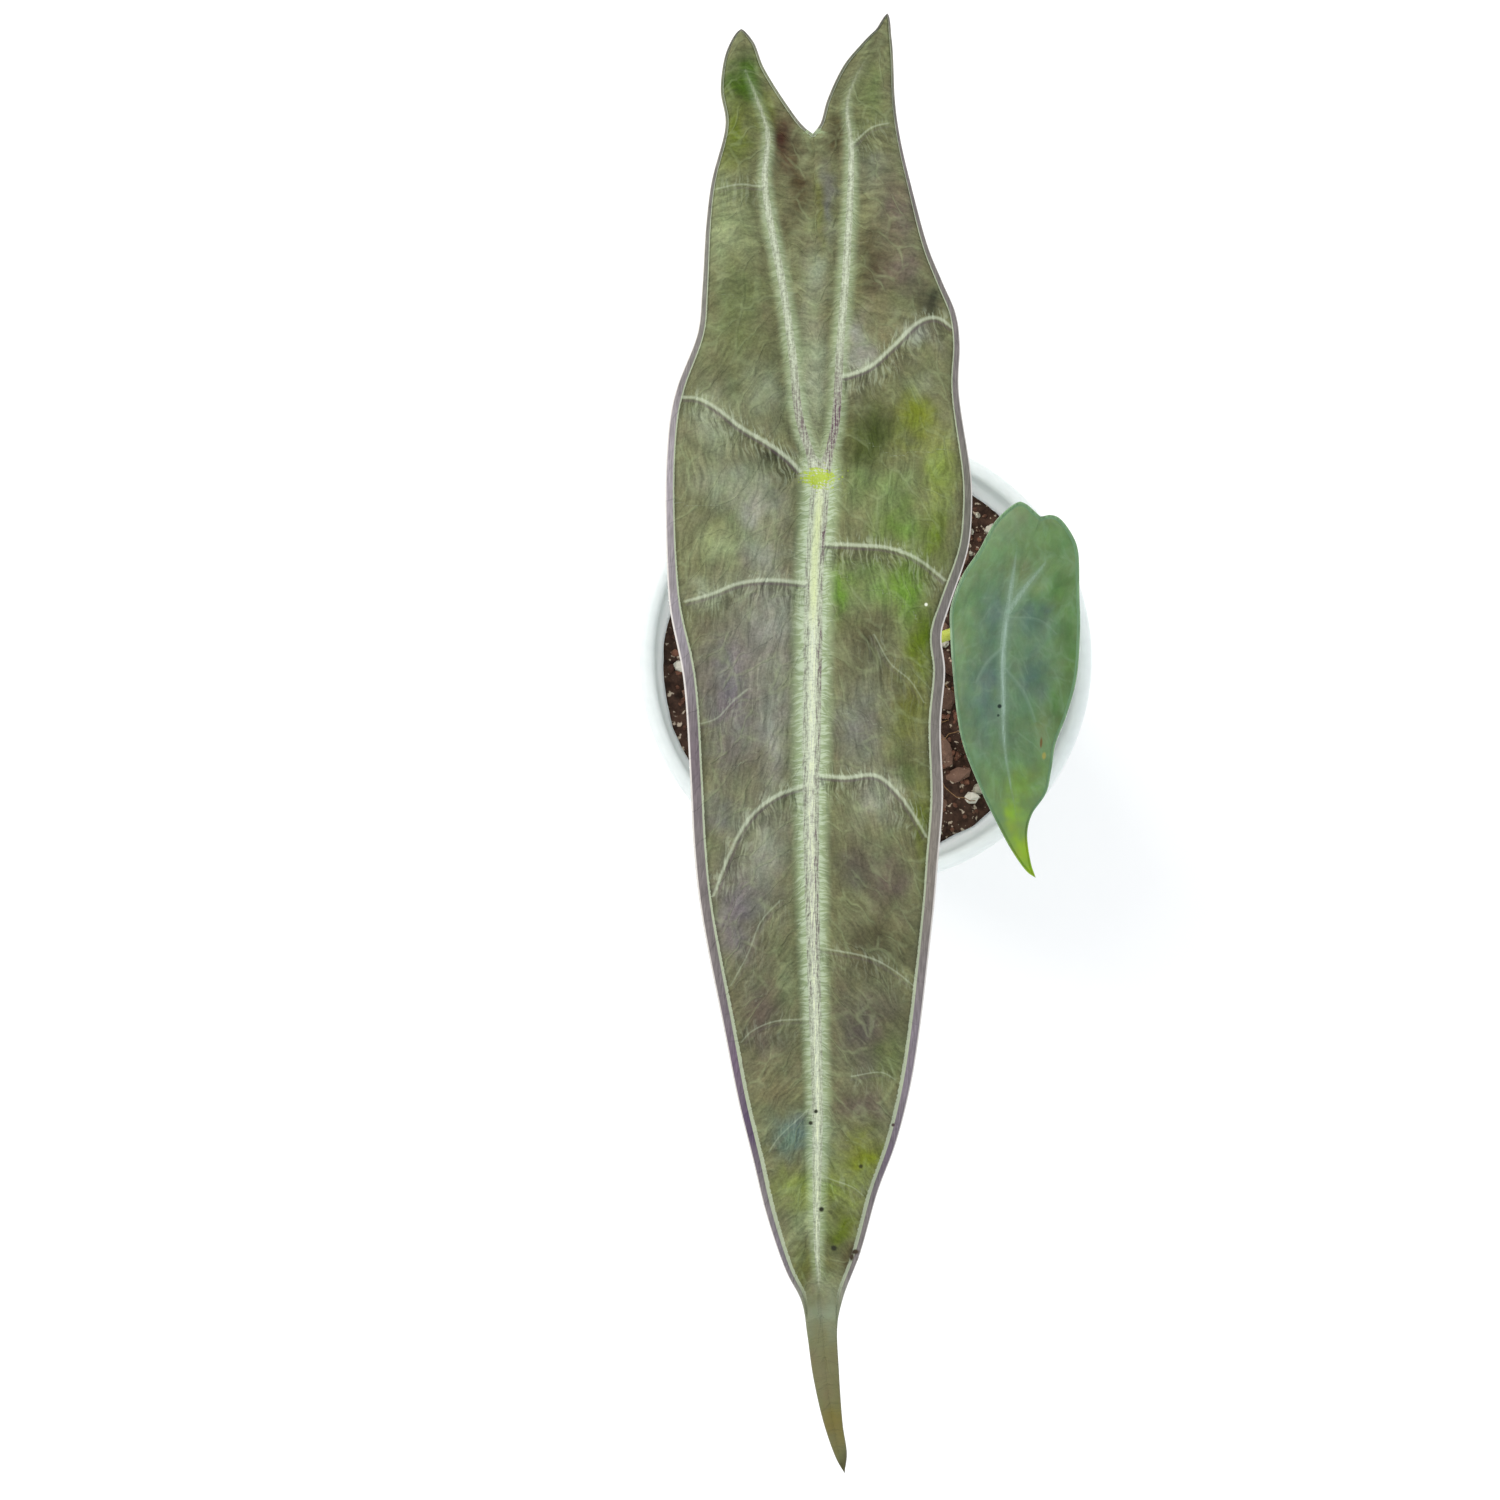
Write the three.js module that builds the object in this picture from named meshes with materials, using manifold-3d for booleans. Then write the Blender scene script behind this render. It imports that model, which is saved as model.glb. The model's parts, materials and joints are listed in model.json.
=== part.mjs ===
// Potted alocasia longiloba: nursery pot, potting mix, short stem with roots, two leaf stalks, two leaf blades.
// Millimetres, +Z up. The pot stands on z = 0 with its axis on the Z axis.
// +Y runs towards the long leaf's two back lobes, so its drip tip points along -Y.

import * as THREE from 'three';
import { mergeVertices } from 'three/addons/utils/BufferGeometryUtils.js';
import Module from 'manifold-3d';

const wasm = await Module();
wasm.setup();

// Driving dimensions of the pot
const POT_HEIGHT = 86;
const RIM_RADIUS = 47.5;
const BASE_RADIUS = 35;
const WALL = 1;
const RIM_BAND = 3;
const SKIRT_DEPTH = 6.5;
const FOOT_WIDTH = 5;
const BASE_RECESS = 2;
const HUB_RADIUS = 8;
const DRAIN_SLOTS = 8;
const SLOT_WIDTH = 8;
const SLOT_RISE = 3.2;
const POT_SIDES = 64;

// Driving dimensions of the plant
const GAP = 0.3;
const MIX_BELOW_RIM = 11.5;
const STEM_RADIUS = 5.2;
const STEM_ABOVE_MIX = 6.5;
const STEM_BURIED = 22;
const ROOT_COUNT = 6;
const BLADE_THICKNESS = 0.6;
const LARGE_BLADE_ABOVE_RIM = 112;
const SMALL_BLADE_ABOVE_RIM = 24;

const MIX_LEVEL = POT_HEIGHT - MIX_BELOW_RIM;
const STEM_TOP = MIX_LEVEL + STEM_ABOVE_MIX;

// One fixed draw of random numbers, so that every build is the same
function seededRandom(seed) {
  let state = seed;
  return () => {
    state = (state * 1664525 + 1013904223) % 4294967296;
    return state / 4294967296;
  };
}

const smoothBell = (x, centre, width) => Math.exp(-(((x - centre) / width) ** 2));

// Solids: vertices shared, flattened triangles dropped
function closedBody(geometry) {
  geometry.deleteAttribute('normal');
  geometry.deleteAttribute('uv');
  const merged = mergeVertices(geometry, 1e-4);
  const kept = [];
  for (let i = 0; i < merged.index.count; i += 3) {
    const [a, b, c] = [0, 1, 2].map((k) => merged.index.getX(i + k));
    if (a !== b && b !== c && c !== a) kept.push(a, b, c);
  }
  merged.setIndex(kept);
  return merged;
}

function toManifold(geometry) {
  const body = closedBody(geometry);
  return new wasm.Manifold(new wasm.Mesh({
    numProp: 3,
    vertProperties: new Float32Array(body.attributes.position.array),
    triVerts: new Uint32Array(body.index.array),
  }));
}

function fromManifold(solid) {
  const mesh = solid.getMesh();
  const geometry = new THREE.BufferGeometry();
  geometry.setAttribute('position', new THREE.BufferAttribute(mesh.vertProperties, 3));
  geometry.setIndex(new THREE.BufferAttribute(mesh.triVerts, 1));
  return geometry;
}

// A profile of [radius, height] pairs turned about the Z axis
function turned(profile, sides) {
  const points = profile.map(([radius, height]) => new THREE.Vector2(radius, height));
  return new THREE.LatheGeometry(points, sides).rotateX(Math.PI / 2);
}

// A closed round bar along a smooth path, with a radius for each fraction of its length
function taperedBar(path, radiusAt, steps, sides) {
  const curve = new THREE.CatmullRomCurve3(path.map((point) => new THREE.Vector3(...point)));
  const { normals, binormals } = curve.computeFrenetFrames(steps, false);
  const positions = [];
  const index = [];
  for (let i = 0; i <= steps; i += 1) {
    const centre = curve.getPointAt(i / steps);
    for (let k = 0; k < sides; k += 1) {
      const angle = (2 * Math.PI * k) / sides;
      const offset = normals[i].clone().multiplyScalar(Math.cos(angle))
        .addScaledVector(binormals[i], Math.sin(angle));
      positions.push(...centre.clone().addScaledVector(offset, radiusAt(i / steps)).toArray());
    }
  }
  for (let i = 0; i < steps; i += 1) {
    for (let k = 0; k < sides; k += 1) {
      const a = i * sides + k;
      const b = i * sides + ((k + 1) % sides);
      index.push(a, b, b + sides, a, b + sides, a + sides);
    }
  }
  const last = steps * sides;
  for (let k = 1; k < sides - 1; k += 1) {
    index.push(0, k + 1, k);
    index.push(last, last + k, last + k + 1);
  }
  const geometry = new THREE.BufferGeometry();
  geometry.setAttribute('position', new THREE.Float32BufferAttribute(positions, 3));
  geometry.setIndex(index);
  return geometry;
}

// Pot: thin tapered wall, folded-down rim, foot ring with a raised floor inside it
const wallOuter = (z) => BASE_RADIUS + ((RIM_RADIUS - 2 - BASE_RADIUS) * z) / POT_HEIGHT;
const wallInner = (z) => wallOuter(z) - WALL;

function potGeometry() {
  const floor = 1.3;
  const slope = 1;
  const footInner = BASE_RADIUS - 0.5 - FOOT_WIDTH;
  const skirtFoot = POT_HEIGHT - SKIRT_DEPTH;
  const profile = [
    [0, 0],
    [HUB_RADIUS, 0],
    [HUB_RADIUS + slope, BASE_RECESS],
    [footInner - slope, BASE_RECESS],
    [footInner, 0],
    [BASE_RADIUS - 0.5, 0],
    [wallOuter(0.8), 0.8],
    [wallOuter(POT_HEIGHT - WALL - 0.4), POT_HEIGHT - WALL - 0.4],
    [RIM_RADIUS - WALL, POT_HEIGHT - WALL - 0.4],
    [RIM_RADIUS - WALL, skirtFoot],
    [RIM_RADIUS - 0.1, skirtFoot],
    [RIM_RADIUS, POT_HEIGHT - 1.2],
    [RIM_RADIUS - 0.6, POT_HEIGHT - 0.2],
    [RIM_RADIUS - 1.5, POT_HEIGHT],
    [RIM_RADIUS - RIM_BAND + 0.4, POT_HEIGHT - 0.3],
    [wallInner(POT_HEIGHT - 1.2), POT_HEIGHT - 1.2],
    [wallInner(2.4), 2.4],
    [wallInner(floor) - 1, floor],
    [footInner - 0.2, floor],
    [footInner - slope - 0.2, BASE_RECESS + floor],
    [HUB_RADIUS + slope - 0.2, BASE_RECESS + floor],
    [HUB_RADIUS - 0.2, floor],
    [0, floor],
  ];
  let pot = toManifold(turned(profile, POT_SIDES));
  for (let i = 0; i < DRAIN_SLOTS; i += 1) {
    const cutter = new THREE.BoxGeometry(8, SLOT_WIDTH, 2 * SLOT_RISE);
    cutter.translate(BASE_RADIUS, 0, 0);
    cutter.rotateZ(((i + 0.5) * 2 * Math.PI) / DRAIN_SLOTS);
    pot = pot.subtract(toManifold(cutter));
  }
  return fromManifold(pot);
}

// Potting mix: the level is a little higher at the lower left and sunk at the upper left
function mixHeight(x, y) {
  const bearing = (THREE.MathUtils.radToDeg(Math.atan2(y, x)) + 360) % 360;
  const outward = Math.min(1, Math.hypot(x, y) / wallInner(MIX_LEVEL)) ** 2;
  const bank = 3.5 * smoothBell(bearing, 205, 38) - 3.5 * smoothBell(bearing, 138, 28);
  const lumps = 0.8 * Math.sin(x / 3.1 + 1.3) * Math.sin(y / 2.7 + 0.4)
    + 0.5 * Math.sin(x / 1.7 + y / 2.9);
  return MIX_LEVEL + outward * bank + lumps;
}

function mixBed() {
  const rings = 7;
  const sides = 40;
  const bottom = BASE_RECESS + 1.3 + GAP;
  const profile = [[0, bottom], [wallInner(bottom) - GAP, bottom]];
  for (let i = rings; i >= 0; i -= 1) profile.push([i / rings, MIX_LEVEL]);
  const bed = turned(profile, sides);
  const place = bed.attributes.position;
  for (let i = 0; i < place.count; i += 1) {
    const fraction = Math.hypot(place.getX(i), place.getY(i));
    if (place.getZ(i) < MIX_LEVEL - 0.01) continue;
    const bearing = fraction > 0 ? Math.atan2(place.getY(i), place.getX(i)) : 0;
    const reach = fraction * (wallInner(MIX_LEVEL) - GAP);
    const z = mixHeight(reach * Math.cos(bearing), reach * Math.sin(bearing));
    const radius = fraction * (wallInner(z) - GAP - 0.12);
    place.setXYZ(i, radius * Math.cos(bearing), radius * Math.sin(bearing), z);
  }
  return toManifold(bed);
}

// Bark chips and pale grains lie on the bed, sunk well in and fused to it
function scatteredPieces(seed, count, shape, sizeOf, sink) {
  const random = seededRandom(seed);
  const pieces = [];
  for (let i = 0; i < count; i += 1) {
    const [length, width, height] = sizeOf(random);
    const bearing = ((i + random() * 0.8) * 137.5 * Math.PI) / 180;
    const inner = STEM_RADIUS + 4 + length / 2;
    const outer = wallInner(MIX_LEVEL - 3) - 1.4 - length / 2;
    const radius = inner + (outer - inner) * Math.sqrt((i + 0.5) / count);
    const x = radius * Math.cos(bearing);
    const y = radius * Math.sin(bearing);
    const piece = shape.clone().scale(length / 2, width / 2, height / 2);
    piece.rotateX((random() - 0.5) * 0.9).rotateY((random() - 0.5) * 0.7).rotateZ(random() * Math.PI);
    piece.translate(x, y, mixHeight(x, y) + height * sink);
    pieces.push(toManifold(piece));
  }
  return pieces;
}

function mixGeometry() {
  const chip = new THREE.DodecahedronGeometry(1.1, 0);
  const grain = new THREE.IcosahedronGeometry(1, 0);
  const chips = scatteredPieces(11, 26, chip, (r) => [5 + 5 * r(), 3.5 + 2.5 * r(), 2.4 + 1.6 * r()], 0.1);
  const grains = scatteredPieces(29, 22, grain, (r) => [2.4 + 1.8 * r(), 2.2 + r(), 2.2 + r()], 0.1);
  let mix = mixBed();
  for (const piece of [...chips, ...grains]) mix = mix.add(piece);
  return fromManifold(mix.subtract(stemSolid(GAP + 0.05)));
}

// Stem base: a short ringed stock that widens a little to the mix, with roots leaving its buried half
function stemSolid(extra) {
  const low = MIX_LEVEL - STEM_BURIED;
  const profile = [
    [0, low - extra],
    [STEM_RADIUS * 0.55 + extra, low - extra],
    [STEM_RADIUS * 0.95 + extra, low + 5],
    [STEM_RADIUS * 1.08 + extra, MIX_LEVEL - 6],
    [STEM_RADIUS * 1.06 + extra, MIX_LEVEL + 1],
    [STEM_RADIUS * 1.14 + extra, MIX_LEVEL + 1.6],
    [STEM_RADIUS * 1.02 + extra, MIX_LEVEL + 2.4],
    [STEM_RADIUS * 1.09 + extra, MIX_LEVEL + 4.2],
    [STEM_RADIUS + extra, MIX_LEVEL + 4.9],
    [STEM_RADIUS + extra, STEM_TOP + extra],
    [0, STEM_TOP + extra],
  ];
  let stem = toManifold(turned(profile, 20));
  const random = seededRandom(5);
  for (let i = 0; i < ROOT_COUNT; i += 1) {
    const bearing = ((i + 0.5 * random()) * 2 * Math.PI) / ROOT_COUNT;
    const start = low + 5 + 7 * random();
    const spread = 22 + 6 * random();
    const depth = 10 + 16 * random();
    const at = (radius, turn, z) => [radius * Math.cos(bearing + turn), radius * Math.sin(bearing + turn), z];
    const path = [
      at(1.5, 0, start + 1),
      at(9, 0.1, start - 3),
      at(spread * 0.8, 0.35, start * 0.62 + depth * 0.38),
      at(spread, 0.6, start * 0.25 + depth * 0.75),
      at(spread * 0.9, 0.9, depth),
    ];
    stem = stem.add(toManifold(taperedBar(path, (t) => 1.3 - 0.6 * t + extra, 9, 6)));
    if (extra > 0) {
      const end = new THREE.IcosahedronGeometry(0.8 + 2 * extra, 0).translate(...path.at(-1));
      stem = stem.add(toManifold(end));
    }
  }
  return stem;
}

// Leaf blades. Places on a blade are [across, along] in plan from the leaf stalk's joint:
// along is positive towards the back lobes and negative towards the drip tip.
// Each edge runs from the notch between the lobes, over its lobe's tip, to the drip tip.
const LARGE_BLADE = {
  origin: [-14, 20.3, POT_HEIGHT + LARGE_BLADE_ABOVE_RIM],
  leftEdge: [
    [-1, 51.7], [-2.4, 52.9], [-4.2, 55.3], [-8.2, 62], [-9.85, 66.4], [-11.65, 68.3], [-13.7, 65.2],
    [-14.7, 58.6], [-13.95, 53], [-16, 44.2], [-16.8, 38], [-17.4, 28.2], [-18, 21.6], [-20.9, 13.4],
    [-21.9, 9], [-22.6, 0], [-22.5, -11.6], [-22, -19], [-20, -29.3], [-19.1, -44], [-18.7, -53],
    [-17.8, -61.8], [-14.4, -80], [-12.1, -92.2], [-9.8, -101.6], [-7.9, -109.4], [-4.8, -118.9],
    [-2.4, -123.9], [-1.5, -129.4], [-0.6, -136], [1.2, -144.2], [3.4, -150.6], [4.5, -152.3],
  ],
  rightEdge: [
    [-1, 51.7], [0.1, 53.3], [1.1, 56.9], [3.6, 62.4], [6.2, 65.8], [8.5, 68.4], [10.3, 70.7], [10.9, 67],
    [11.1, 63.6], [11.3, 57.3], [11.8, 52.5], [13, 45.7], [15.7, 34.4], [17.9, 29], [19.9, 24.4],
    [20.5, 20], [20.3, 13.4], [21.8, 0.2], [21.7, -3.5], [21, -9.4], [18.4, -18.2], [17.7, -22.6],
    [18.3, -27.8], [17.6, -36], [17.9, -47], [17.4, -55.8], [16.9, -63.4], [14.8, -81.5], [13.4, -90.7],
    [11.5, -99.2], [9.1, -106.3], [6.5, -115.8], [3.9, -123.1], [3.1, -127.6], [3.4, -135.1],
    [4.1, -144.2], [4.8, -149.2], [4.5, -152.3],
  ],
  midline: [
    [-1, 51.7], [-0.6, 25], [0, 1], [-0.8, -11.6], [-1.1, -25], [-1.3, -50], [-0.9, -69.4], [-0.2, -92],
    [-0.1, -115.8], [0.8, -127.1], [1.8, -138.5], [3.9, -150.4], [4.5, -152.3],
  ],
  lobeRibs: [
    [[0, 0], [-3, 9], [-4, 18], [-5.3, 27.6], [-8.1, 44], [-7.7, 52], [-9.1, 56.6], [-11, 61.7]],
    [[0, 0], [2.1, 7.5], [2.9, 19.3], [3.8, 30.6], [4.7, 49], [4.3, 57.4], [8.8, 66.8]],
  ],
  sideRibs: [
    [[3.2, 15.1], [7.1, 16.2], [14.7, 22.9], [19.3, 22.1]],
    [[4.6, 49.7], [7.6, 52.3], [10.5, 53.2]],
    [[-8.1, 43.6], [-11.8, 43.6], [-15.3, 42.8]],
    [[-2.9, 1], [-7.4, 4.7], [-15.3, 9.9], [-20.3, 11.5]],
    [[0, -9.4], [9.6, -10.4], [13.5, -11.8], [18.1, -15.1]],
    [[-1, -15.3], [-8.1, -15], [-15.9, -17.1], [-20, -18.2]],
    [[-10.3, -30.7], [-15, -35.1], [-17.6, -36]],
    [[7.6, -22.8], [10, -27.1], [15, -32.9]],
    [[-1, -43.4], [8.1, -43.5], [11.3, -46.2], [15.4, -52.5]],
    [[-1.2, -44.7], [-6.6, -46.6], [-12.5, -53.5], [-15.6, -61.4]],
    [[-0.9, -69], [7.3, -70.4], [13.9, -74.7]],
    [[-5.6, -61.8], [-8.5, -64.9], [-13.1, -74.7]],
    [[-0.6, -80], [-6.6, -80], [-11.5, -83.2]],
    [[4.7, -88.4], [11.2, -88.7]],
    [[-0.2, -92.6], [-5.8, -97.7], [-7.3, -100]],
    [[0, -104], [4.9, -105.5], [6.7, -107]],
  ],
  tipFall: 16,
  tipFallPower: 2,
  lobeFall: 5,
  lift: 4.4,
  wave: 1.1,
  waveLength: 41,
  ridge: 0.45,
  midribDepth: 1.1,
  midribWidth: 1.5,
  rows: 62,
  lobeRows: 9,
  columns: 10,
};

const SMALL_BLADE = {
  origin: [26.2, 7.8, POT_HEIGHT + SMALL_BLADE_ABOVE_RIM],
  leftEdge: [
    [6, 18.4], [4.8, 19.5], [3.3, 20.8], [2, 21.3], [0.2, 20.4], [-2.8, 17.4], [-5.8, 12], [-9.2, 6.8],
    [-11.3, 0.8], [-11.3, -4], [-10.5, -13.2], [-9.6, -20.3], [-8.2, -26], [-3.6, -36.3], [-1.2, -40.8],
    [2.9, -47.8], [6.4, -52.2], [8, -53.2],
  ],
  rightEdge: [
    [6, 18.4], [7.9, 18.8], [9.7, 18.3], [12.7, 14.5], [13.7, 11.6], [13.9, 2.3], [14, -4.5], [13.7, -13.2],
    [12.1, -20.1], [10.1, -26], [9.6, -31], [8.9, -35.7], [6.4, -40], [5.7, -43.7], [6.8, -49.9], [8, -53.2],
  ],
  midline: [
    [6, 18.4], [2.4, 8], [0, 0.4], [-0.8, -7.4], [-0.5, -17.2], [0.1, -26], [3.5, -41.2], [6, -49.1],
    [8, -53.2],
  ],
  lobeRibs: [
    [[0, 0], [0.8, 6.2], [1.6, 11.8]],
    [[0, 0], [3.3, 4.7], [7.2, 9.5]],
  ],
  sideRibs: [
    [[-0.7, -6.8], [-4, -9.8], [-6.2, -14]],
    [[0, -1], [6, -1.6], [9.4, -4.4]],
    [[-0.6, -10.6], [3.4, -15.5], [6, -21.5]],
  ],
  tipFall: 16,
  tipFallPower: 1.5,
  lobeFall: -2,
  lift: 2.6,
  wave: 0.4,
  waveLength: 27,
  ridge: 0.3,
  midribDepth: 0.8,
  midribWidth: 1.1,
  rows: 26,
  lobeRows: 4,
  columns: 7,
};

function smoothLine(points, samples) {
  const curve = new THREE.CatmullRomCurve3(
    points.map(([across, along]) => new THREE.Vector3(across, along, 0)), false, 'centripetal',
  );
  return curve.getPoints(samples).map((point) => [point.x, point.y]);
}

// The across value where a line passes a given along value
function acrossAt(line, along) {
  for (let i = 1; i < line.length; i += 1) {
    const [[a0, b0], [a1, b1]] = [line[i - 1], line[i]];
    if ((b0 - along) * (b1 - along) <= 0 && b0 !== b1) return a0 + ((a1 - a0) * (along - b0)) / (b1 - b0);
  }
  const end = Math.abs(line[0][1] - along) < Math.abs(line.at(-1)[1] - along) ? line[0] : line.at(-1);
  return end[0];
}

function distanceTo(line, across, along) {
  let nearest = Infinity;
  for (let i = 1; i < line.length; i += 1) {
    const [[a0, b0], [a1, b1]] = [line[i - 1], line[i]];
    const [da, db] = [a1 - a0, b1 - b0];
    const share = ((across - a0) * da + (along - b0) * db) / (da * da + db * db);
    const t = Math.min(1, Math.max(0, share));
    nearest = Math.min(nearest, Math.hypot(across - a0 - t * da, along - b0 - t * db));
  }
  return nearest;
}

// Everything about a blade that its heights and its outline are worked out from
function surveyed(blade) {
  const edges = [blade.leftEdge, blade.rightEdge].map((edge) => smoothLine(edge, 260));
  const tops = edges.map((edge) => edge.reduce((best, point, i) => (point[1] > edge[best][1] ? i : best), 0));
  return {
    ...blade,
    inner: edges.map((edge, side) => edge.slice(0, tops[side] + 1)),
    outer: edges.map((edge, side) => edge.slice(tops[side])),
    apex: edges.map((edge, side) => edge[tops[side]]),
    notch: blade.leftEdge[0],
    tip: blade.leftEdge.at(-1),
    mid: smoothLine(blade.midline, 120),
    lobes: blade.lobeRibs.map((rib) => smoothLine(rib, 40)),
    ribs: blade.sideRibs.map((rib) => smoothLine(rib, 12)),
  };
}

// Upper face: each half rises from its main rib and curls down again at the edge
function bladeTop(blade, side, across, along) {
  const fall = along < 0
    ? blade.tipFall * (along / blade.tip[1]) ** blade.tipFallPower
    : blade.lobeFall * (along / 70) ** 2 * (blade.lobeFall < 0 ? 12 : 1);
  const lobeSpan = blade.lobes[side].at(-1)[1];
  const valley = along > 0
    ? acrossAt(blade.lobes[side], Math.min(along, lobeSpan))
    : acrossAt(blade.mid, along);
  const edge = acrossAt(blade.outer[side], along);
  const sign = side === 0 ? -1 : 1;
  const outward = (across - valley) * sign;
  const reach = Math.max(1, (edge - valley) * sign);
  const width = 22;
  let rise;
  if (outward >= 0) {
    const t = Math.min(1, outward / reach);
    const curl = Math.sin((2 * Math.PI * along) / blade.waveLength + side * 2.1);
    rise = blade.lift * (reach / width) * t * (2.6 - 2 * t) + blade.wave * t * t * curl * Math.min(1, reach / 9);
  } else {
    const t = Math.min(1, -outward / 5);
    rise = 0.9 * t * (2 - t);
  }
  const crests = [blade.mid, ...blade.lobes].map((line) => distanceTo(line, across, along));
  const main = smoothBell(Math.min(...crests), 0, blade.midribWidth) * 0.9;
  const spread = blade.ribs.map((line) => smoothBell(distanceTo(line, across, along), 0, 1.5));
  return blade.origin[2] - fall + rise + blade.ridge * Math.max(main, ...spread);
}

// Under face: one thickness below, with the midrib and the two lobe ribs standing out
function bladeBottom(blade, top, across, along) {
  const fade = Math.min(1, Math.max(0, (along - blade.tip[1]) / 50));
  const mid = along > 2 ? 99 : distanceTo(blade.mid, across, along);
  const lobe = Math.min(...blade.lobes.map((line) => distanceTo(line, across, along)));
  const depth = Math.max(
    blade.midribDepth * fade * smoothBell(mid, 0, blade.midribWidth),
    0.7 * blade.midribDepth * smoothBell(lobe, 0, blade.midribWidth * 0.8),
  );
  return top - BLADE_THICKNESS - depth;
}

// Rows run across the blade, columns from the midline, or a lobe's inner edge, out to the margin
function bladeRows(blade, side) {
  const rows = [];
  const [low, high] = [blade.tip[1], blade.notch[1]];
  for (let i = 0; i <= blade.rows; i += 1) {
    const along = low + (high - low) * Math.sin((i / blade.rows) * Math.PI * 0.5) ** 1.15;
    rows.push([along, acrossAt(blade.mid, along), acrossAt(blade.outer[side], along)]);
  }
  for (let i = 1; i <= blade.lobeRows; i += 1) {
    const along = high + (blade.apex[side][1] - high) * Math.sin((i / blade.lobeRows) * Math.PI * 0.5);
    rows.push([along, acrossAt(blade.inner[side], along), acrossAt(blade.outer[side], along)]);
  }
  rows[0][1] = rows[0][2] = blade.tip[0];
  rows.at(-1)[1] = rows.at(-1)[2] = blade.apex[side][0];
  return rows;
}

function bladeGeometry(blade) {
  const top = [];
  const under = [];
  const faces = [];
  const known = new Map();
  const vertex = (side, across, along) => {
    const key = `${across.toFixed(4)} ${along.toFixed(4)}`;
    if (!known.has(key)) {
      const z = bladeTop(blade, side, across, along);
      known.set(key, top.length);
      top.push([blade.origin[0] + across, blade.origin[1] + along, z]);
      under.push([blade.origin[0] + across, blade.origin[1] + along, bladeBottom(blade, z, across, along)]);
    }
    return known.get(key);
  };
  for (const side of [0, 1]) {
    const grid = bladeRows(blade, side).map(([along, inner, outer]) => (
      Array.from({ length: blade.columns + 1 }, (_, j) => (
        vertex(side, inner + (outer - inner) * (j / blade.columns) ** 1.15, along)
      ))
    ));
    for (let i = 0; i < grid.length - 1; i += 1) {
      for (let j = 0; j < blade.columns; j += 1) {
        const [a, b, c, d] = [grid[i][j], grid[i][j + 1], grid[i + 1][j + 1], grid[i + 1][j]];
        for (const face of [[a, b, c], [a, c, d]]) {
          if (new Set(face).size === 3) faces.push(side === 1 ? face : face.reverse());
        }
      }
    }
  }
  return sheetBody(top, under, faces);
}

// Two faces with the same triangles, joined by a wall along every open edge
function sheetBody(top, under, faces) {
  const count = top.length;
  const index = faces.flat();
  const open = new Set(faces.flatMap(([a, b, c]) => [`${a} ${b}`, `${b} ${c}`, `${c} ${a}`]));
  for (const [a, b, c] of faces) {
    index.push(c + count, b + count, a + count);
    for (const [p, q] of [[a, b], [b, c], [c, a]]) {
      if (!open.has(`${q} ${p}`)) index.push(q, p, p + count, q, p + count, q + count);
    }
  }
  const geometry = new THREE.BufferGeometry();
  geometry.setAttribute('position', new THREE.Float32BufferAttribute([...top, ...under].flat(), 3));
  geometry.setIndex(index);
  return geometry;
}

// Leaf stalks: they spring from the stem's top and end just under the blades, where the ribs meet
function stalkEnd(blade) {
  const [x, y] = blade.origin;
  const top = bladeTop(blade, 1, 0, 0);
  return [x, y, bladeBottom(blade, top, 0, 0) - GAP];
}

function largeStalkGeometry(blade) {
  const path = [
    [-2, 0.2, STEM_TOP + GAP],
    [-2.6, 0.6, STEM_TOP + 9],
    [-5.2, 3.2, STEM_TOP + 34],
    [-9.6, 10.2, STEM_TOP + 66],
    [-13, 17.4, STEM_TOP + 95],
    [-14, 20.1, STEM_TOP + 108],
    stalkEnd(blade),
  ];
  const radiusAt = (t) => 1.75 + 0.45 * (1 - t) + 0.9 * (1 - Math.min(1, t / 0.32)) ** 1.6;
  return taperedBar(path, radiusAt, 26, 10);
}

function smallStalkGeometry(blade) {
  const path = [
    [3.4, 0.3, STEM_TOP + GAP],
    [4, 0.5, STEM_TOP + 5],
    [8.4, 1.7, STEM_TOP + 15],
    [14.8, 3.6, STEM_TOP + 22],
    [22, 6.2, STEM_TOP + 24.6],
    [25.6, 7.6, STEM_TOP + 26],
    stalkEnd(blade),
  ];
  const radiusAt = (t) => 1.05 + 0.2 * (1 - t) + 0.6 * (1 - Math.min(1, t / 0.35)) ** 1.6;
  return taperedBar(path, radiusAt, 20, 8);
}

// The whole plant in its pot
const largeBlade = surveyed(LARGE_BLADE);
const smallBlade = surveyed(SMALL_BLADE);
const plant = new THREE.Group();

function addPart(name, geometry, color, roughness) {
  const material = new THREE.MeshStandardMaterial({ color, roughness, metalness: 0, flatShading: true });
  const mesh = new THREE.Mesh(closedBody(geometry), material);
  mesh.name = name;
  plant.add(mesh);
}

addPart('pot', potGeometry(), '#e6f0ee', 0.35);
addPart('potting_mix', mixGeometry(), '#3a1c12', 0.95);
addPart('stem_base', fromManifold(stemSolid(0)), '#8a8c58', 0.7);
addPart('stalk_large', largeStalkGeometry(largeBlade), '#8a8f57', 0.5);
addPart('stalk_small', smallStalkGeometry(smallBlade), '#b9c24e', 0.5);
addPart('blade_large', bladeGeometry(largeBlade), '#7c8064', 0.5);
addPart('blade_small', bladeGeometry(smallBlade), '#5f7f70', 0.5);

export default plant;
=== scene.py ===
# %% [markdown]
# # A young alocasia longiloba in its nursery pot
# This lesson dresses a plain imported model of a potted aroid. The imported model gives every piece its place
# and size; Blender gives it the fine surface: the leathery grey-green blade with its pale ribs and mauve
# border, the milky plastic pot and the loose bark mix. The first cell loads that model as a fixed frame.

# %% Load the frame
import json
import math

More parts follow.
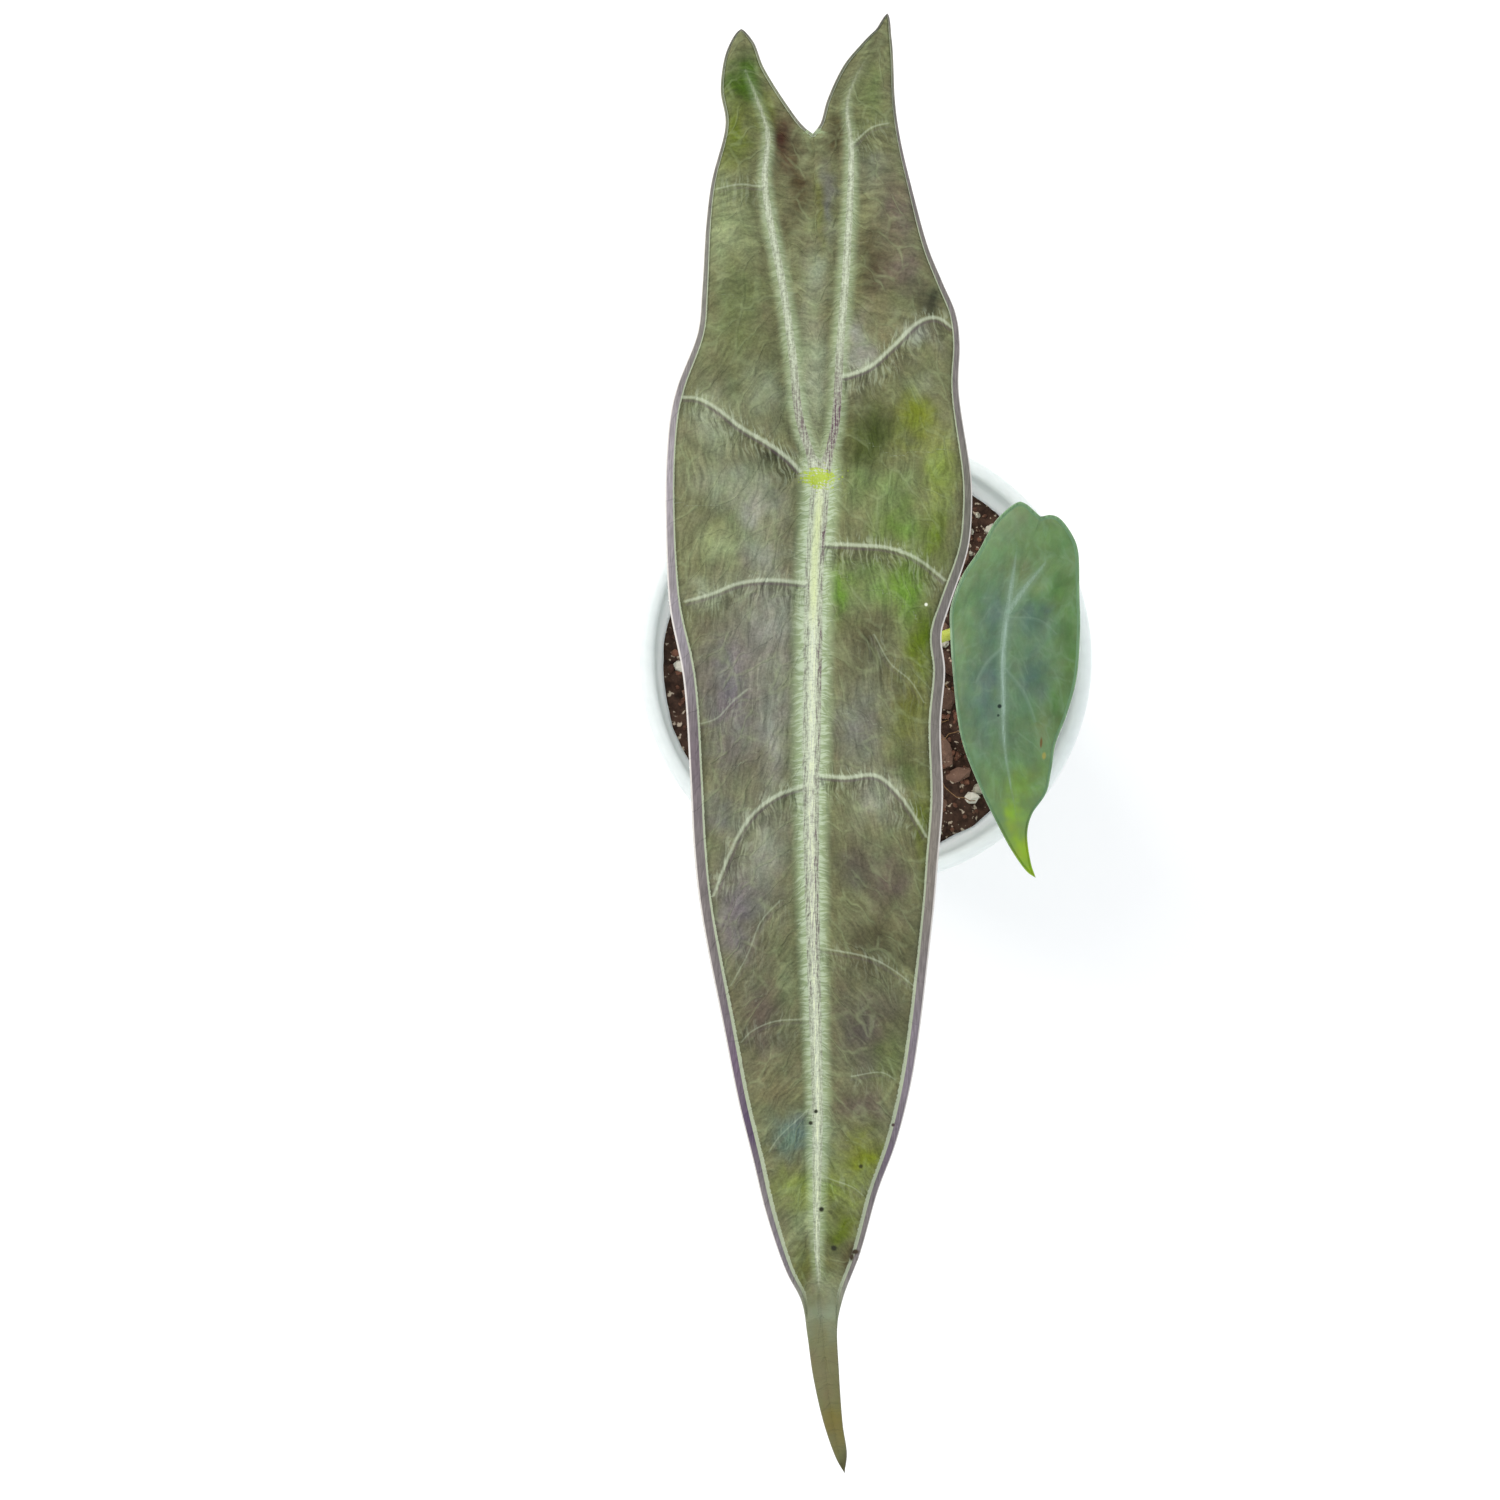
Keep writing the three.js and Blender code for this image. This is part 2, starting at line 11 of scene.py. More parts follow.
import bmesh
import bpy
import numpy as np
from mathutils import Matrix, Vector

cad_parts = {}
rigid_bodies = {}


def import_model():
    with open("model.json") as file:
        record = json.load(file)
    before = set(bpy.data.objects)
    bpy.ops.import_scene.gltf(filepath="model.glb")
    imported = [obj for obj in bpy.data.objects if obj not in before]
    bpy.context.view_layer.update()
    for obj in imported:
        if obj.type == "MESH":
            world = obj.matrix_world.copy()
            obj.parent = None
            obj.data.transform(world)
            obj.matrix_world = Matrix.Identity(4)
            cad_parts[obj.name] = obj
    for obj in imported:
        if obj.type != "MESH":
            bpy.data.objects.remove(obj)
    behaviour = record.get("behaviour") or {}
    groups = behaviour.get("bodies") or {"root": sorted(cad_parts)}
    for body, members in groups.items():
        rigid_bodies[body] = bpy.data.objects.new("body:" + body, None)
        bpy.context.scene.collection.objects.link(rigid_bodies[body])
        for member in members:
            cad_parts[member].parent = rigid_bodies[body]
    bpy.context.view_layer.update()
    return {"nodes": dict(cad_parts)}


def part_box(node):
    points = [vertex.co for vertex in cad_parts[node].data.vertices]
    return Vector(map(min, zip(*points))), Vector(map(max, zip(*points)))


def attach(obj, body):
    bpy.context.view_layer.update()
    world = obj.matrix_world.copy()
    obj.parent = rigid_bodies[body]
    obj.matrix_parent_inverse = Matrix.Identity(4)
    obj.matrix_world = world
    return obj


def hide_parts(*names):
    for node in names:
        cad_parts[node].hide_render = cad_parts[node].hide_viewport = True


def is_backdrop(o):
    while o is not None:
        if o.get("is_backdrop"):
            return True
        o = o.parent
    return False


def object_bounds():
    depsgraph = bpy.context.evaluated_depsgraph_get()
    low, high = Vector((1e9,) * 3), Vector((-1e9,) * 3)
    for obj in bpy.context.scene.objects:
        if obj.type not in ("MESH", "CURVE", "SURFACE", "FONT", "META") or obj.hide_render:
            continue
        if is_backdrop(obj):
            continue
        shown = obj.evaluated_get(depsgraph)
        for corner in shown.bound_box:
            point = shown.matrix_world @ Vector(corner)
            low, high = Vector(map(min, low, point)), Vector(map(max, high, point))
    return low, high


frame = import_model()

MM = 0.001
POT_LOW, POT_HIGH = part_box("pot")
RIM_Z = POT_HIGH.z / MM
RIM_RADIUS = (POT_HIGH.x - POT_LOW.x) / 2 / MM
print("frame nodes:", sorted(frame["nodes"]), "rim height", round(RIM_Z, 2), "mm")

# %% [markdown]
# ## Small helpers
# Colours are written as the hex values that a paint picker shows, so one function turns them to the linear
# values that shaders work in. One function adds any node with its settings and links, and gives the output
# that the next node takes. One more makes a mesh object from arrays, and another turns a modified object into
# a plain mesh, as a finished piece has to be.

# %% Helpers for colours, nodes and meshes
def linear(hex_code):
    channels = [int(hex_code[i:i + 2], 16) / 255 for i in (1, 3, 5)]
    return [c / 12.92 if c <= 0.04045 else ((c + 0.055) / 1.055) ** 2.4 for c in channels] + [1.0]


def add(tree, kind, links=None, take=None, **settings):
    """Adds a node and gives one of its outputs: the one named in take, or else the first that is live.

    Inputs go by their names, or by their numbers where a node has several of one name.
    """
    node = tree.nodes.new(kind if "Node" in kind else "ShaderNode" + kind)
    for name, value in settings.items():
        setattr(node, name, value)
    for socket, value in (links or {}).items():
        if isinstance(value, bpy.types.NodeSocket):
            tree.links.new(value, node.inputs[socket])
        else:
            node.inputs[socket].default_value = value
    return node.outputs[take] if take else next((output for output in node.outputs if output.enabled), None)


def new_material(name):
    material = bpy.data.materials.new(name)
    material.use_nodes = True
    material.node_tree.nodes.clear()
    return material, material.node_tree


def mesh_object(name, points_mm, faces, material, smooth=True):
    mesh = bpy.data.meshes.new(name)
    mesh.from_pydata((np.asarray(points_mm) * MM).tolist(), [], faces)
    mesh.polygons.foreach_set("use_smooth", [smooth] * len(mesh.polygons))
    mesh.materials.append(material)
    mesh.update()
    obj = bpy.data.objects.new(name, mesh)
    bpy.context.scene.collection.objects.link(obj)
    return obj


def made_plain(obj):
    evaluated = obj.evaluated_get(bpy.context.evaluated_depsgraph_get())
    plain = bpy.data.meshes.new_from_object(evaluated)
    obj.modifiers.clear()
    obj.data = plain
    return obj


def finish_piece(obj, slot, *nodes):
    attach(obj, "root")
    if nodes:
        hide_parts(*nodes)
    print(obj.name, len(obj.data.polygons), "faces")


# %% [markdown]
# ## Camera, floor and light
# The plant is seen from straight above, so the camera looks down the Z axis and the rim is a true circle.
# Its height above the rim and its place beside the pot's axis come from the size and place of that circle
# in the frame. A broad sky of even light keeps shadows soft; one large panel at the upper left gives the
# blade's relief a light side and a dark side.

# %% Camera and studio
CAMERA_ABOVE_RIM = 376.6
CAMERA_BESIDE_AXIS = (-24.3, -19.25)
FOCAL_PIXELS = 1800
FRAME_PIXELS = 1500
SENSOR_MM = 36

camera_data = bpy.data.cameras.new("Camera")
camera_data.sensor_width = SENSOR_MM
camera_data.lens = SENSOR_MM * FOCAL_PIXELS / FRAME_PIXELS
camera_data.clip_start = 0.01
camera = bpy.data.objects.new("Camera", camera_data)
camera.location = [v * MM for v in (*CAMERA_BESIDE_AXIS, RIM_Z + CAMERA_ABOVE_RIM)]
bpy.context.scene.collection.objects.link(camera)
bpy.context.scene.camera = camera
bpy.context.scene.view_settings.view_transform = "Standard"

world = bpy.data.worlds.new("Even sky")
world.use_nodes = True
world.node_tree.nodes["Background"].inputs["Color"].default_value = linear("#fbfcff")
world.node_tree.nodes["Background"].inputs["Strength"].default_value = 1.0
bpy.context.scene.world = world


def light_panel(name, place, target, size, watts, colour):
    data = bpy.data.lights.new(name, "AREA")
    data.size = size
    data.energy = watts
    data.color = linear(colour)[:3]
    panel = bpy.data.objects.new(name, data)
    panel.location = place
    panel.rotation_euler = (Vector(place) - Vector(target)).to_track_quat("Z", "Y").to_euler()
    bpy.context.scene.collection.objects.link(panel)


light_panel("Key panel", (-0.8, 0.7, 1.2), (0, 0, 0.12), 0.9, 11, "#fffaf2")
light_panel("Fill panel", (0.9, -0.6, 1.4), (0, 0, 0.1), 1.4, 2, "#f4f8ff")

floor_material, floor_tree = new_material("Matte white paper floor")
floor_shader = add(floor_tree, "BsdfPrincipled", {"Base Color": linear("#fdfdfc"), "Roughness": 0.9})
add(floor_tree, "OutputMaterial", {"Surface": floor_shader})
floor = mesh_object(
    "Floor", [(-3000, -3000, -0.4), (3000, -3000, -0.4), (3000, 3000, -0.4), (-3000, 3000, -0.4)],
    [(0, 1, 2, 3)], floor_material, smooth=False,
)
floor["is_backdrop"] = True

# %% [markdown]
# ## Outlines and ribs of the two blades
# A leaf is a thin sheet whose look hangs on its outline and its ribs. Each is a short list of places in
# millimetres from the joint with the leaf stalk, across and along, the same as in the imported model. A list
# was chosen over a formula because a real leaf's two halves are never alike. Edges run from the notch between
# the back lobes, over a lobe's tip, down to the drip tip.

# %% Blade outlines
# A side rib starts with its strength. Rib widths and borders are pairs: a place along, and half the rib's
# width or the border's width there. A flush is an oval: its place, half width, half length and strength.
LARGE_BLADE = {
    "origin": (-14, 20.3, RIM_Z + 112),
    "left_edge": [
        (-1, 51.7), (-2.4, 52.9), (-4.2, 55.3), (-8.2, 62), (-9.85, 66.4), (-11.65, 68.3), (-13.7, 65.2),
        (-14.7, 58.6), (-13.95, 53), (-16, 44.2), (-16.8, 38), (-17.4, 28.2), (-18, 21.6), (-20.9, 13.4),
        (-21.9, 9), (-22.6, 0), (-22.5, -11.6), (-22, -19), (-20, -29.3), (-19.1, -44), (-18.7, -53),
        (-17.8, -61.8), (-14.4, -80), (-12.1, -92.2), (-9.8, -101.6), (-7.9, -109.4), (-4.8, -118.9),
        (-2.4, -123.9), (-1.5, -129.4), (-0.6, -136), (1.2, -144.2), (3.4, -150.6), (4.5, -152.3),
    ],
    "right_edge": [
        (-1, 51.7), (0.1, 53.3), (1.1, 56.9), (3.6, 62.4), (6.2, 65.8), (8.5, 68.4), (10.3, 70.7), (10.9, 67),
        (11.1, 63.6), (11.3, 57.3), (11.8, 52.5), (13, 45.7), (15.7, 34.4), (17.9, 29), (19.9, 24.4),
        (20.5, 20), (20.3, 13.4), (21.8, 0.2), (21.9, -4.5), (21.4, -10.4), (19, -18.2), (17.8, -22.6),
        (18.3, -27.8), (17.6, -36), (17.9, -47), (17.4, -55.8), (16.9, -63.4), (14.8, -81.5), (13.4, -90.7),
        (11.5, -99.2), (9.1, -106.3), (6.5, -115.8), (3.9, -123.1), (3.1, -127.6), (3.4, -135.1),
        (4.1, -144.2), (4.8, -149.2), (4.5, -152.3),
    ],
    "midline": [
        (-1, 51.7), (-0.6, 25), (0, 1), (-0.8, -11.6), (-1.1, -25), (-1.3, -50), (-0.9, -69.4), (-0.2, -92),
        (-0.1, -115.8), (0.8, -127.1), (1.8, -138.5), (3.9, -150.4), (4.5, -152.3),
    ],
    "lobe_ribs": [
        [(0, 0), (-3, 9), (-4, 18), (-5.3, 27.6), (-8.1, 44), (-7.7, 52), (-9.1, 56.6), (-11, 61.7)],
        [(0, 0), (2.1, 7.5), (2.9, 19.3), (3.8, 30.6), (4.7, 49), (4.3, 57.4), (8.8, 66.8)],
    ],
    "side_ribs": [
        (1.0, [(3.2, 15.1), (7.1, 16.2), (10.6, 19.1), (14.7, 22.9), (17, 23.4), (19.3, 22.1)]),
        (0.5, [(4.6, 49.7), (7.6, 52.3), (10.5, 53.2)]),
        (0.5, [(-8.1, 43.6), (-11.8, 43.6), (-15.3, 42.8)]),
        (1.0, [(-2.9, 1), (-5, 3), (-7.4, 4.7), (-11.8, 7.2), (-15.3, 9.9), (-18, 11.3), (-20.3, 11.5)]),
        (0.9, [(0, -9.4), (5.1, -9.9), (9.6, -10.4), (13.5, -11.8), (18.1, -15.1)]),
        (0.9, [(-1, -15.3), (-8.1, -15), (-12.1, -15.6), (-15.9, -17.1), (-20, -18.2)]),
        (0.45, [(-10.3, -30.7), (-12.5, -32.5), (-15, -35.1), (-17.6, -36)]),
        (0.35, [(7.6, -22.8), (10, -27.1), (12.9, -29.6), (15, -32.9)]),
        (0.9, [(-1, -43.4), (3.7, -43.8), (8.1, -43.5), (11.3, -46.2), (13.7, -49.6), (15.4, -52.5)]),
        (0.9, [(-1.2, -44.7), (-6.6, -46.6), (-10, -49.4), (-12.5, -53.5), (-15.6, -61.4)]),
        (0.45, [(-0.9, -69), (7.3, -70.4), (10.6, -72.1), (13.9, -74.7)]),
        (0.35, [(-5.6, -61.8), (-8.5, -64.9), (-10.3, -69.4), (-13.1, -74.7)]),
        (0.4, [(-0.6, -80), (-6.6, -80), (-10, -81.5), (-11.5, -83.2)]),
        (0.35, [(4.7, -88.4), (9.2, -87.6), (11.2, -88.7)]),
        (0.35, [(-0.2, -92.6), (-5.8, -97.7), (-7.3, -100)]),
        (0.35, [(0, -104), (4.9, -105.5), (6.7, -107)]),
    ],
    "tip_fall": 16, "tip_fall_power": 2, "lobe_fall": 5, "lift": 4.4, "wave": 1.1, "wave_length": 41,
    "rib_height": 0.5, "under_depth": 1.1, "under_half": 1.5, "quilt": 0.75,
    "rib_width": [(-124, 0.05), (-119, 0.35), (-100, 0.75), (-60, 1.05), (-48, 1.15), (-40, 1.3), (0, 1.35),
                  (4, 0.6), (22, 0.56), (34, 0.54), (46, 0.44), (56, 0.3), (66, 0.12)],
    "flush": [(2.4, 8, 3, 8, 1.0), (-3, 8, 3, 7, 0.6), (1, -8, 1.1, 4, 0.9), (0.6, -30, 1, 11, 0.85),
              (-0.5, -60, 1.2, 18, 0.5)],
    "border": [(-128, 0.05), (-122, 0.7), (-100, 1.1), (-68, 1.45), (-55, 1.6), (-25, 1.55), (-10, 1.2),
               (12, 1.0), (30, 0.75), (45, 0.5), (70, 0.3)],
    "rows": 400, "columns": 46,
}

SMALL_BLADE = {
    "origin": (26.2, 7.8, RIM_Z + 24),
    "left_edge": [
        (6, 18.4), (4.8, 19.5), (3.3, 20.8), (2, 21.3), (0.2, 20.4), (-2.8, 17.4), (-5.8, 12), (-9.2, 6.8),
        (-11.3, 0.8), (-11.3, -4), (-10.5, -13.2), (-9.6, -20.3), (-8.2, -26), (-3.6, -36.3), (-1.2, -40.8),
        (2.9, -47.8), (6.4, -52.2), (8, -53.2),
    ],
    "right_edge": [
        (6, 18.4), (7.9, 18.8), (9.7, 18.3), (12.7, 14.5), (13.7, 11.6), (13.9, 2.3), (14, -4.5),
        (13.7, -13.2), (12.1, -20.1), (10.1, -26), (9.6, -31), (8.9, -35.7), (6.4, -40), (5.7, -43.7),
        (6.8, -49.9), (8, -53.2),
    ],
    "midline": [
        (6, 18.4), (2.4, 8), (0, 0.4), (-0.8, -7.4), (-0.5, -17.2), (0.1, -26), (3.5, -41.2), (6, -49.1),
        (8, -53.2),
    ],
    "lobe_ribs": [
        [(0, 0), (0.8, 6.2), (1.6, 11.8)],
        [(0, 0), (3.3, 4.7), (7.2, 9.5)],
    ],
    "side_ribs": [
        (0.7, [(-0.7, -6.8), (-4, -9.8), (-6.2, -14)]),
        (0.4, [(0, -1), (6, -1.6), (9.4, -4.4)]),
        (0.6, [(-0.6, -10.6), (3.4, -15.5), (6, -21.5)]),
    ],
    "tip_fall": 16, "tip_fall_power": 1.5, "lobe_fall": -24, "lift": 2.6, "wave": 0.4, "wave_length": 27,
    "rib_height": 0.25, "under_depth": 0.8, "under_half": 1.1, "quilt": 0.25,
    "rib_width": [(-42, 0.15), (-26, 0.35), (-8, 0.65), (0, 0.6), (6, 0.4), (12, 0.2)],
    "flush": [],
    "border": [(-53, 0.3), (20, 0.5)],
    "rows": 190, "columns": 34,
}


# %% [markdown]
# ## Smooth lines through the places
# A centripetal Catmull-Rom line passes through every place in a list without loops or overshoot, so it suits
# a leaf's edge with both long runs and a sharp lobe tip. The distance from every point of the blade to a rib
# then shapes the rib's height and, later, its colour.

# %% Lines and distances
def smooth_line(places, per_span=12):
    p = np.array(places, float)
    p = np.vstack([2 * p[0] - p[1], p, 2 * p[-1] - p[-2]])
    x0, x1, x2, x3 = p[:-3], p[1:-2], p[2:-1], p[3:]
    spans = ((x0, x1), (x1, x2), (x2, x3))
    d0, d1, d2 = (np.sqrt(np.linalg.norm(b - a, axis=1, keepdims=True)) for a, b in spans)
    leave = ((x1 - x0) / d0 - (x2 - x0) / (d0 + d1) + (x2 - x1) / d1) * d1
    arrive = ((x2 - x1) / d1 - (x3 - x1) / (d1 + d2) + (x3 - x2) / d2) * d1
    t = np.linspace(0, 1, per_span, endpoint=False)[None, :, None]
    x1, x2, leave, arrive = (a[:, None, :] for a in (x1, x2, leave, arrive))
    line = (2 * t**3 - 3 * t**2 + 1) * x1 + (t**3 - 2 * t**2 + t) * leave
    line = line + (3 * t**2 - 2 * t**3) * x2 + (t**3 - t**2) * arrive
    return np.vstack([line.reshape(-1, p.shape[1]), p[-2]])


def across_at(line, along):
    rising = line if line[0, 1] < line[-1, 1] else line[::-1]
    steps = np.maximum.accumulate(rising[:, 1]) + np.arange(len(rising)) * 1e-9
    return np.interp(along, steps, rising[:, 0])


def distance_to(line, across, along):
    """Distance to a line, its side (1 towards the back lobes, -1 away), and the share of its length there."""
    best = np.full(across.shape, 1e9)
    sign = np.ones(across.shape)
    share = np.zeros(across.shape)
    for i in range(len(line) - 1):
        (a0, b0), (a1, b1) = line[i], line[i + 1]
        da, db = a1 - a0, b1 - b0
        length = da * da + db * db
        if length < 1e-12:
            continue
        t = np.clip(((across - a0) * da + (along - b0) * db) / length, 0, 1)
        off_a, off_b = across - a0 - t * da, along - b0 - t * db
        gap = np.hypot(off_a, off_b)
        nearer = gap < best
        best[nearer] = gap[nearer]
        share[nearer] = (i + t[nearer]) / (len(line) - 1)
        sign[nearer] = np.where(off_b[nearer] >= 0, 1, -1)
    return best, sign, share


def bell(x, half):
    return np.exp(-((x / half) ** 2))


def soft_noise(x, y, seed):
    """Smooth random heights between -1 and 1, one value for each whole step of x and y."""
    table = np.random.default_rng(seed).uniform(-1, 1, (64, 64))
    x0, y0 = np.floor(x).astype(int), np.floor(y).astype(int)
    fx, fy = x - x0, y - y0
    fx, fy = fx * fx * (3 - 2 * fx), fy * fy * (3 - 2 * fy)
    low = table[x0 % 64, y0 % 64] * (1 - fx) + table[(x0 + 1) % 64, y0 % 64] * fx
    high = table[x0 % 64, (y0 + 1) % 64] * (1 - fx) + table[(x0 + 1) % 64, (y0 + 1) % 64] * fx
    return low * (1 - fy) + high * fy


# %% [markdown]
# ## The blade's surface
# On the real leaf each half climbs from the midrib and rolls down again at the margin, the side ribs lie in
# shallow creases, and the cells between them are softly quilted. All of this is height over a flat plan, so
# the blade is worked out as two heights for each place, an upper and an under face, which can never cross.
# The upper face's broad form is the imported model's own formula; the fine relief is added to it.

# %% Survey of a blade: where its edges and ribs run
def surveyed(blade):
    edges = [smooth_line(blade[name]) for name in ("left_edge", "right_edge")]
    tops = [int(np.argmax(edge[:, 1])) for edge in edges]
    return {
        **blade,
        "edges": edges,
        "inner": [edge[:top + 1] for edge, top in zip(edges, tops)],
        "outer": [edge[top:] for edge, top in zip(edges, tops)],
        "apex": [edge[top] for edge, top in zip(edges, tops)],
        "notch": edges[0][0],
        "tip": edges[0][-1],
        "mid": smooth_line(blade["midline"], 10),
        "lobes": [smooth_line(rib, 6) for rib in blade["lobe_ribs"]],
        "sides": [(strength, smooth_line(rib, 5)) for strength, rib in blade["side_ribs"]],
    }


# %% Broad form of the upper face
LOBE_SPAN = 70
LARGE_HALF_WIDTH = 22
INNER_REACH, INNER_RISE = 5, 0.9


def broad_height(blade, side, across, along):
    sign = -1 if side == 0 else 1
    tip_fall = blade["tip_fall"] * np.abs(along / blade["tip"][1]) ** blade["tip_fall_power"]
    lobe_fall = blade["lobe_fall"] * (along / LOBE_SPAN) ** 2
    lobe = blade["lobes"][side]
    lobe_valley = across_at(lobe, np.minimum(along, lobe[-1, 1]))
    valley = np.where(along > 0, lobe_valley, across_at(blade["mid"], along))
    edge = across_at(blade["outer"][side], along)
    outward = (across - valley) * sign
    reach = np.maximum(1, (edge - valley) * sign)
    t = np.clip(outward / reach, 0, 1)
    curl = np.sin(2 * np.pi * along / blade["wave_length"] + side * 2.1)
    outer = blade["lift"] * reach / LARGE_HALF_WIDTH * t * (2.6 - 2 * t)
    outer = outer + blade["wave"] * t * t * curl * np.minimum(1, reach / 9)
    s = np.clip(-outward / INNER_REACH, 0, 1)
    rise = np.where(outward >= 0, outer, INNER_RISE * s * (2 - s))
    return blade["origin"][2] - np.where(along < 0, tip_fall, lobe_fall) + rise, outward


# %% Everything that the relief and the colours need at each point of the plan
def survey_points(blade, across, along):
    below = distance_to(blade["mid"], across, np.minimum(along, 1.0))[0] + np.maximum(0, along - 1)
    lobes = [distance_to(line, across, along)[0] for line in blade["lobes"]]
    ribs = np.minimum.reduce([below] + lobes)
    left, right = (across_at(line, np.minimum(along, line[-1, 1])) for line in blade["lobes"])
    between = (along > 0) & (across > left) & (across < right)
    side_gap = np.full(across.shape, 99.0)
    side_sign = np.ones(across.shape)
    side_strength = np.zeros(across.shape)
    for strength, line in blade["sides"]:
        gap, sign, share = distance_to(line, across, along)
        nearer = gap < side_gap
        side_gap[nearer] = gap[nearer]
        side_sign[nearer] = sign[nearer]
        inside = (share > 0) & (share < 1)
        side_strength[nearer] = (strength * (1 - 0.35 * share) * inside)[nearer]
    edge = np.minimum(*(distance_to(line[::2], across, along)[0] for line in blade["edges"]))
    border = np.interp(along, *np.array(blade["border"], float).T)
    half = np.interp(along, *np.array(blade["rib_width"], float).T)
    flush = np.zeros(across.shape)
    for a, b, half_a, half_b, strength in blade["flush"]:
        flush = np.maximum(flush, strength * bell(across - a, half_a) * bell(along - b, half_b))
    return {"ribs": ribs, "signed": np.where(between, -ribs, ribs), "half": half, "side": side_gap,
            "sign": side_sign, "strength": side_strength, "rim": edge / border, "below": below,
            "flush": flush}


# %% Fine relief of the upper face and the ribs of the under face
TIP_FADE_UPPER, TIP_FADE_UNDER = 45, 50
PILLOW_REACH = 4.5
SIDE_RIDGE, SIDE_FURROW, SIDE_VALLEY, CREASE_DEPTH = 0.12, 0.08, 0.28, 0.07
BEAD_HEIGHT, BEAD_GROOVE = 0.22, 0.16


def fine_relief(blade, at, across, along, outward):
    # Ribs: a low ridge with a furrow on each side
    fade = np.clip((along - blade["tip"][1]) / TIP_FADE_UPPER, 0.15, 1)
    ribs, half = at["ribs"], np.maximum(at["half"], 0.9)
    height = blade["rib_height"] * fade * (bell(ribs, half) - 0.5 * bell(ribs - half * 1.9, half * 0.7))
    # Side ribs: a fine ridge above a furrow, both in a broad valley
    signed = at["side"] * at["sign"]
    side = SIDE_RIDGE * bell(signed - 0.1, 0.8) - SIDE_FURROW * bell(signed + 1.0, 0.8)
    height += (side - SIDE_VALLEY * bell(signed, 3.0)) * at["strength"]
    # Pillows between the ribs: broad lumps of about 6 and 3 mm, and creases that run aslant
    near = np.minimum(at["side"] / np.maximum(at["strength"], 0.3), ribs)
    pillow = 1 - bell(near, PILLOW_REACH)
    broad = soft_noise(across / 6 + 9, along / 7 + 90, 3)
    broad += 0.6 * soft_noise(across / 2.8 + 9, along / 3.4 + 90, 4)
    crease = soft_noise(outward / 1.6 + 20, (along - outward * 0.5) / 4.2 + 80, 7)
    inside = np.clip((at["rim"] - 0.9) / 1.2, 0, 1)
    height += inside * pillow * (blade["quilt"] * (0.9 + 0.5 * broad) + CREASE_DEPTH * crease)
    # Margin: a round bead with a groove inside it
    rim = at["rim"]
    bead = np.where(rim < 1, 1 - (2 * rim - 1) ** 2, 0)
    height += BEAD_HEIGHT * bead - BEAD_GROOVE * bell(rim - 1.25, 0.3)
    return height


def under_ribs(blade, at, along):
    fade = np.clip((along - blade["tip"][1]) / TIP_FADE_UNDER, 0, 1)
    below = blade["under_depth"] * fade * bell(at["below"], blade["under_half"])
    lobes = 0.7 * blade["under_depth"] * bell(at["ribs"], blade["under_half"] * 0.8)
    sides = 0.35 * at["strength"] * bell(at["side"], 0.6)
    return np.maximum.reduce([below, lobes, sides])


# %% [markdown]
# ## Tints
# The young leaf isn't one green. Patches of moss, olive, brown and mauve lie under a grey bloom. They are
# painted as about a hundred soft ovals, each with a place, a size, a pigment and a strength, blended
# into a colour attribute of the mesh. That keeps them with the leaf, at no cost when it is rendered.
# Some ovals paint light and shade rather than the leaf's colour: pale ones beside the midrib where the relief
# faces the key light, and dark ones where shade falls.

# %% Pigments seen in the leaves
PIGMENTS = {
    # The second pigment of the next row, the darkest, is painted shade.
    "red brown": "#3a2013", "painted shade": "#24251c", "bark brown": "#3a2e18", "moss": "#556211",
    "dark moss": "#323e07", "brown": "#4c4841", "vivid green": "#375508", "dark leaf": "#48552b",
    "dark olive": "#46442f", "warm brown": "#5b5148", "olive": "#5a653c", "yellow olive": "#5c6127",
    "bright olive": "#54680a", "grey olive": "#606454", "mauve grey": "#6b656a", "straw": "#6e6635",
    "slate": "#5b7268", "khaki": "#716d4e", "stone": "#6b6e66", "yellow moss": "#6b7719",
    "soft olive": "#6c7656", "leaf green": "#5b7d2a", "fresh olive": "#688148", "sage": "#7f8870",
    "straw green": "#76873a", "pale olive": "#89966c", "pale stone": "#8e9184", "pale sage": "#8e977d",
    # The first pigment of the next row, a pale grey, is painted light for the blade beside the midrib, where
    # its relief faces the key light.
    "painted light grey": "#9c9e98", "blue green": "#516962", "mid green": "#577350", "fresh green": "#63804f",
    "grey green": "#5c7369", "grass green": "#68865e", "dull green": "#6b7954", "light green": "#80966f",
    "lime": "#76913a", "bright lime": "#8bab2a", "deep grass": "#50703c",
}

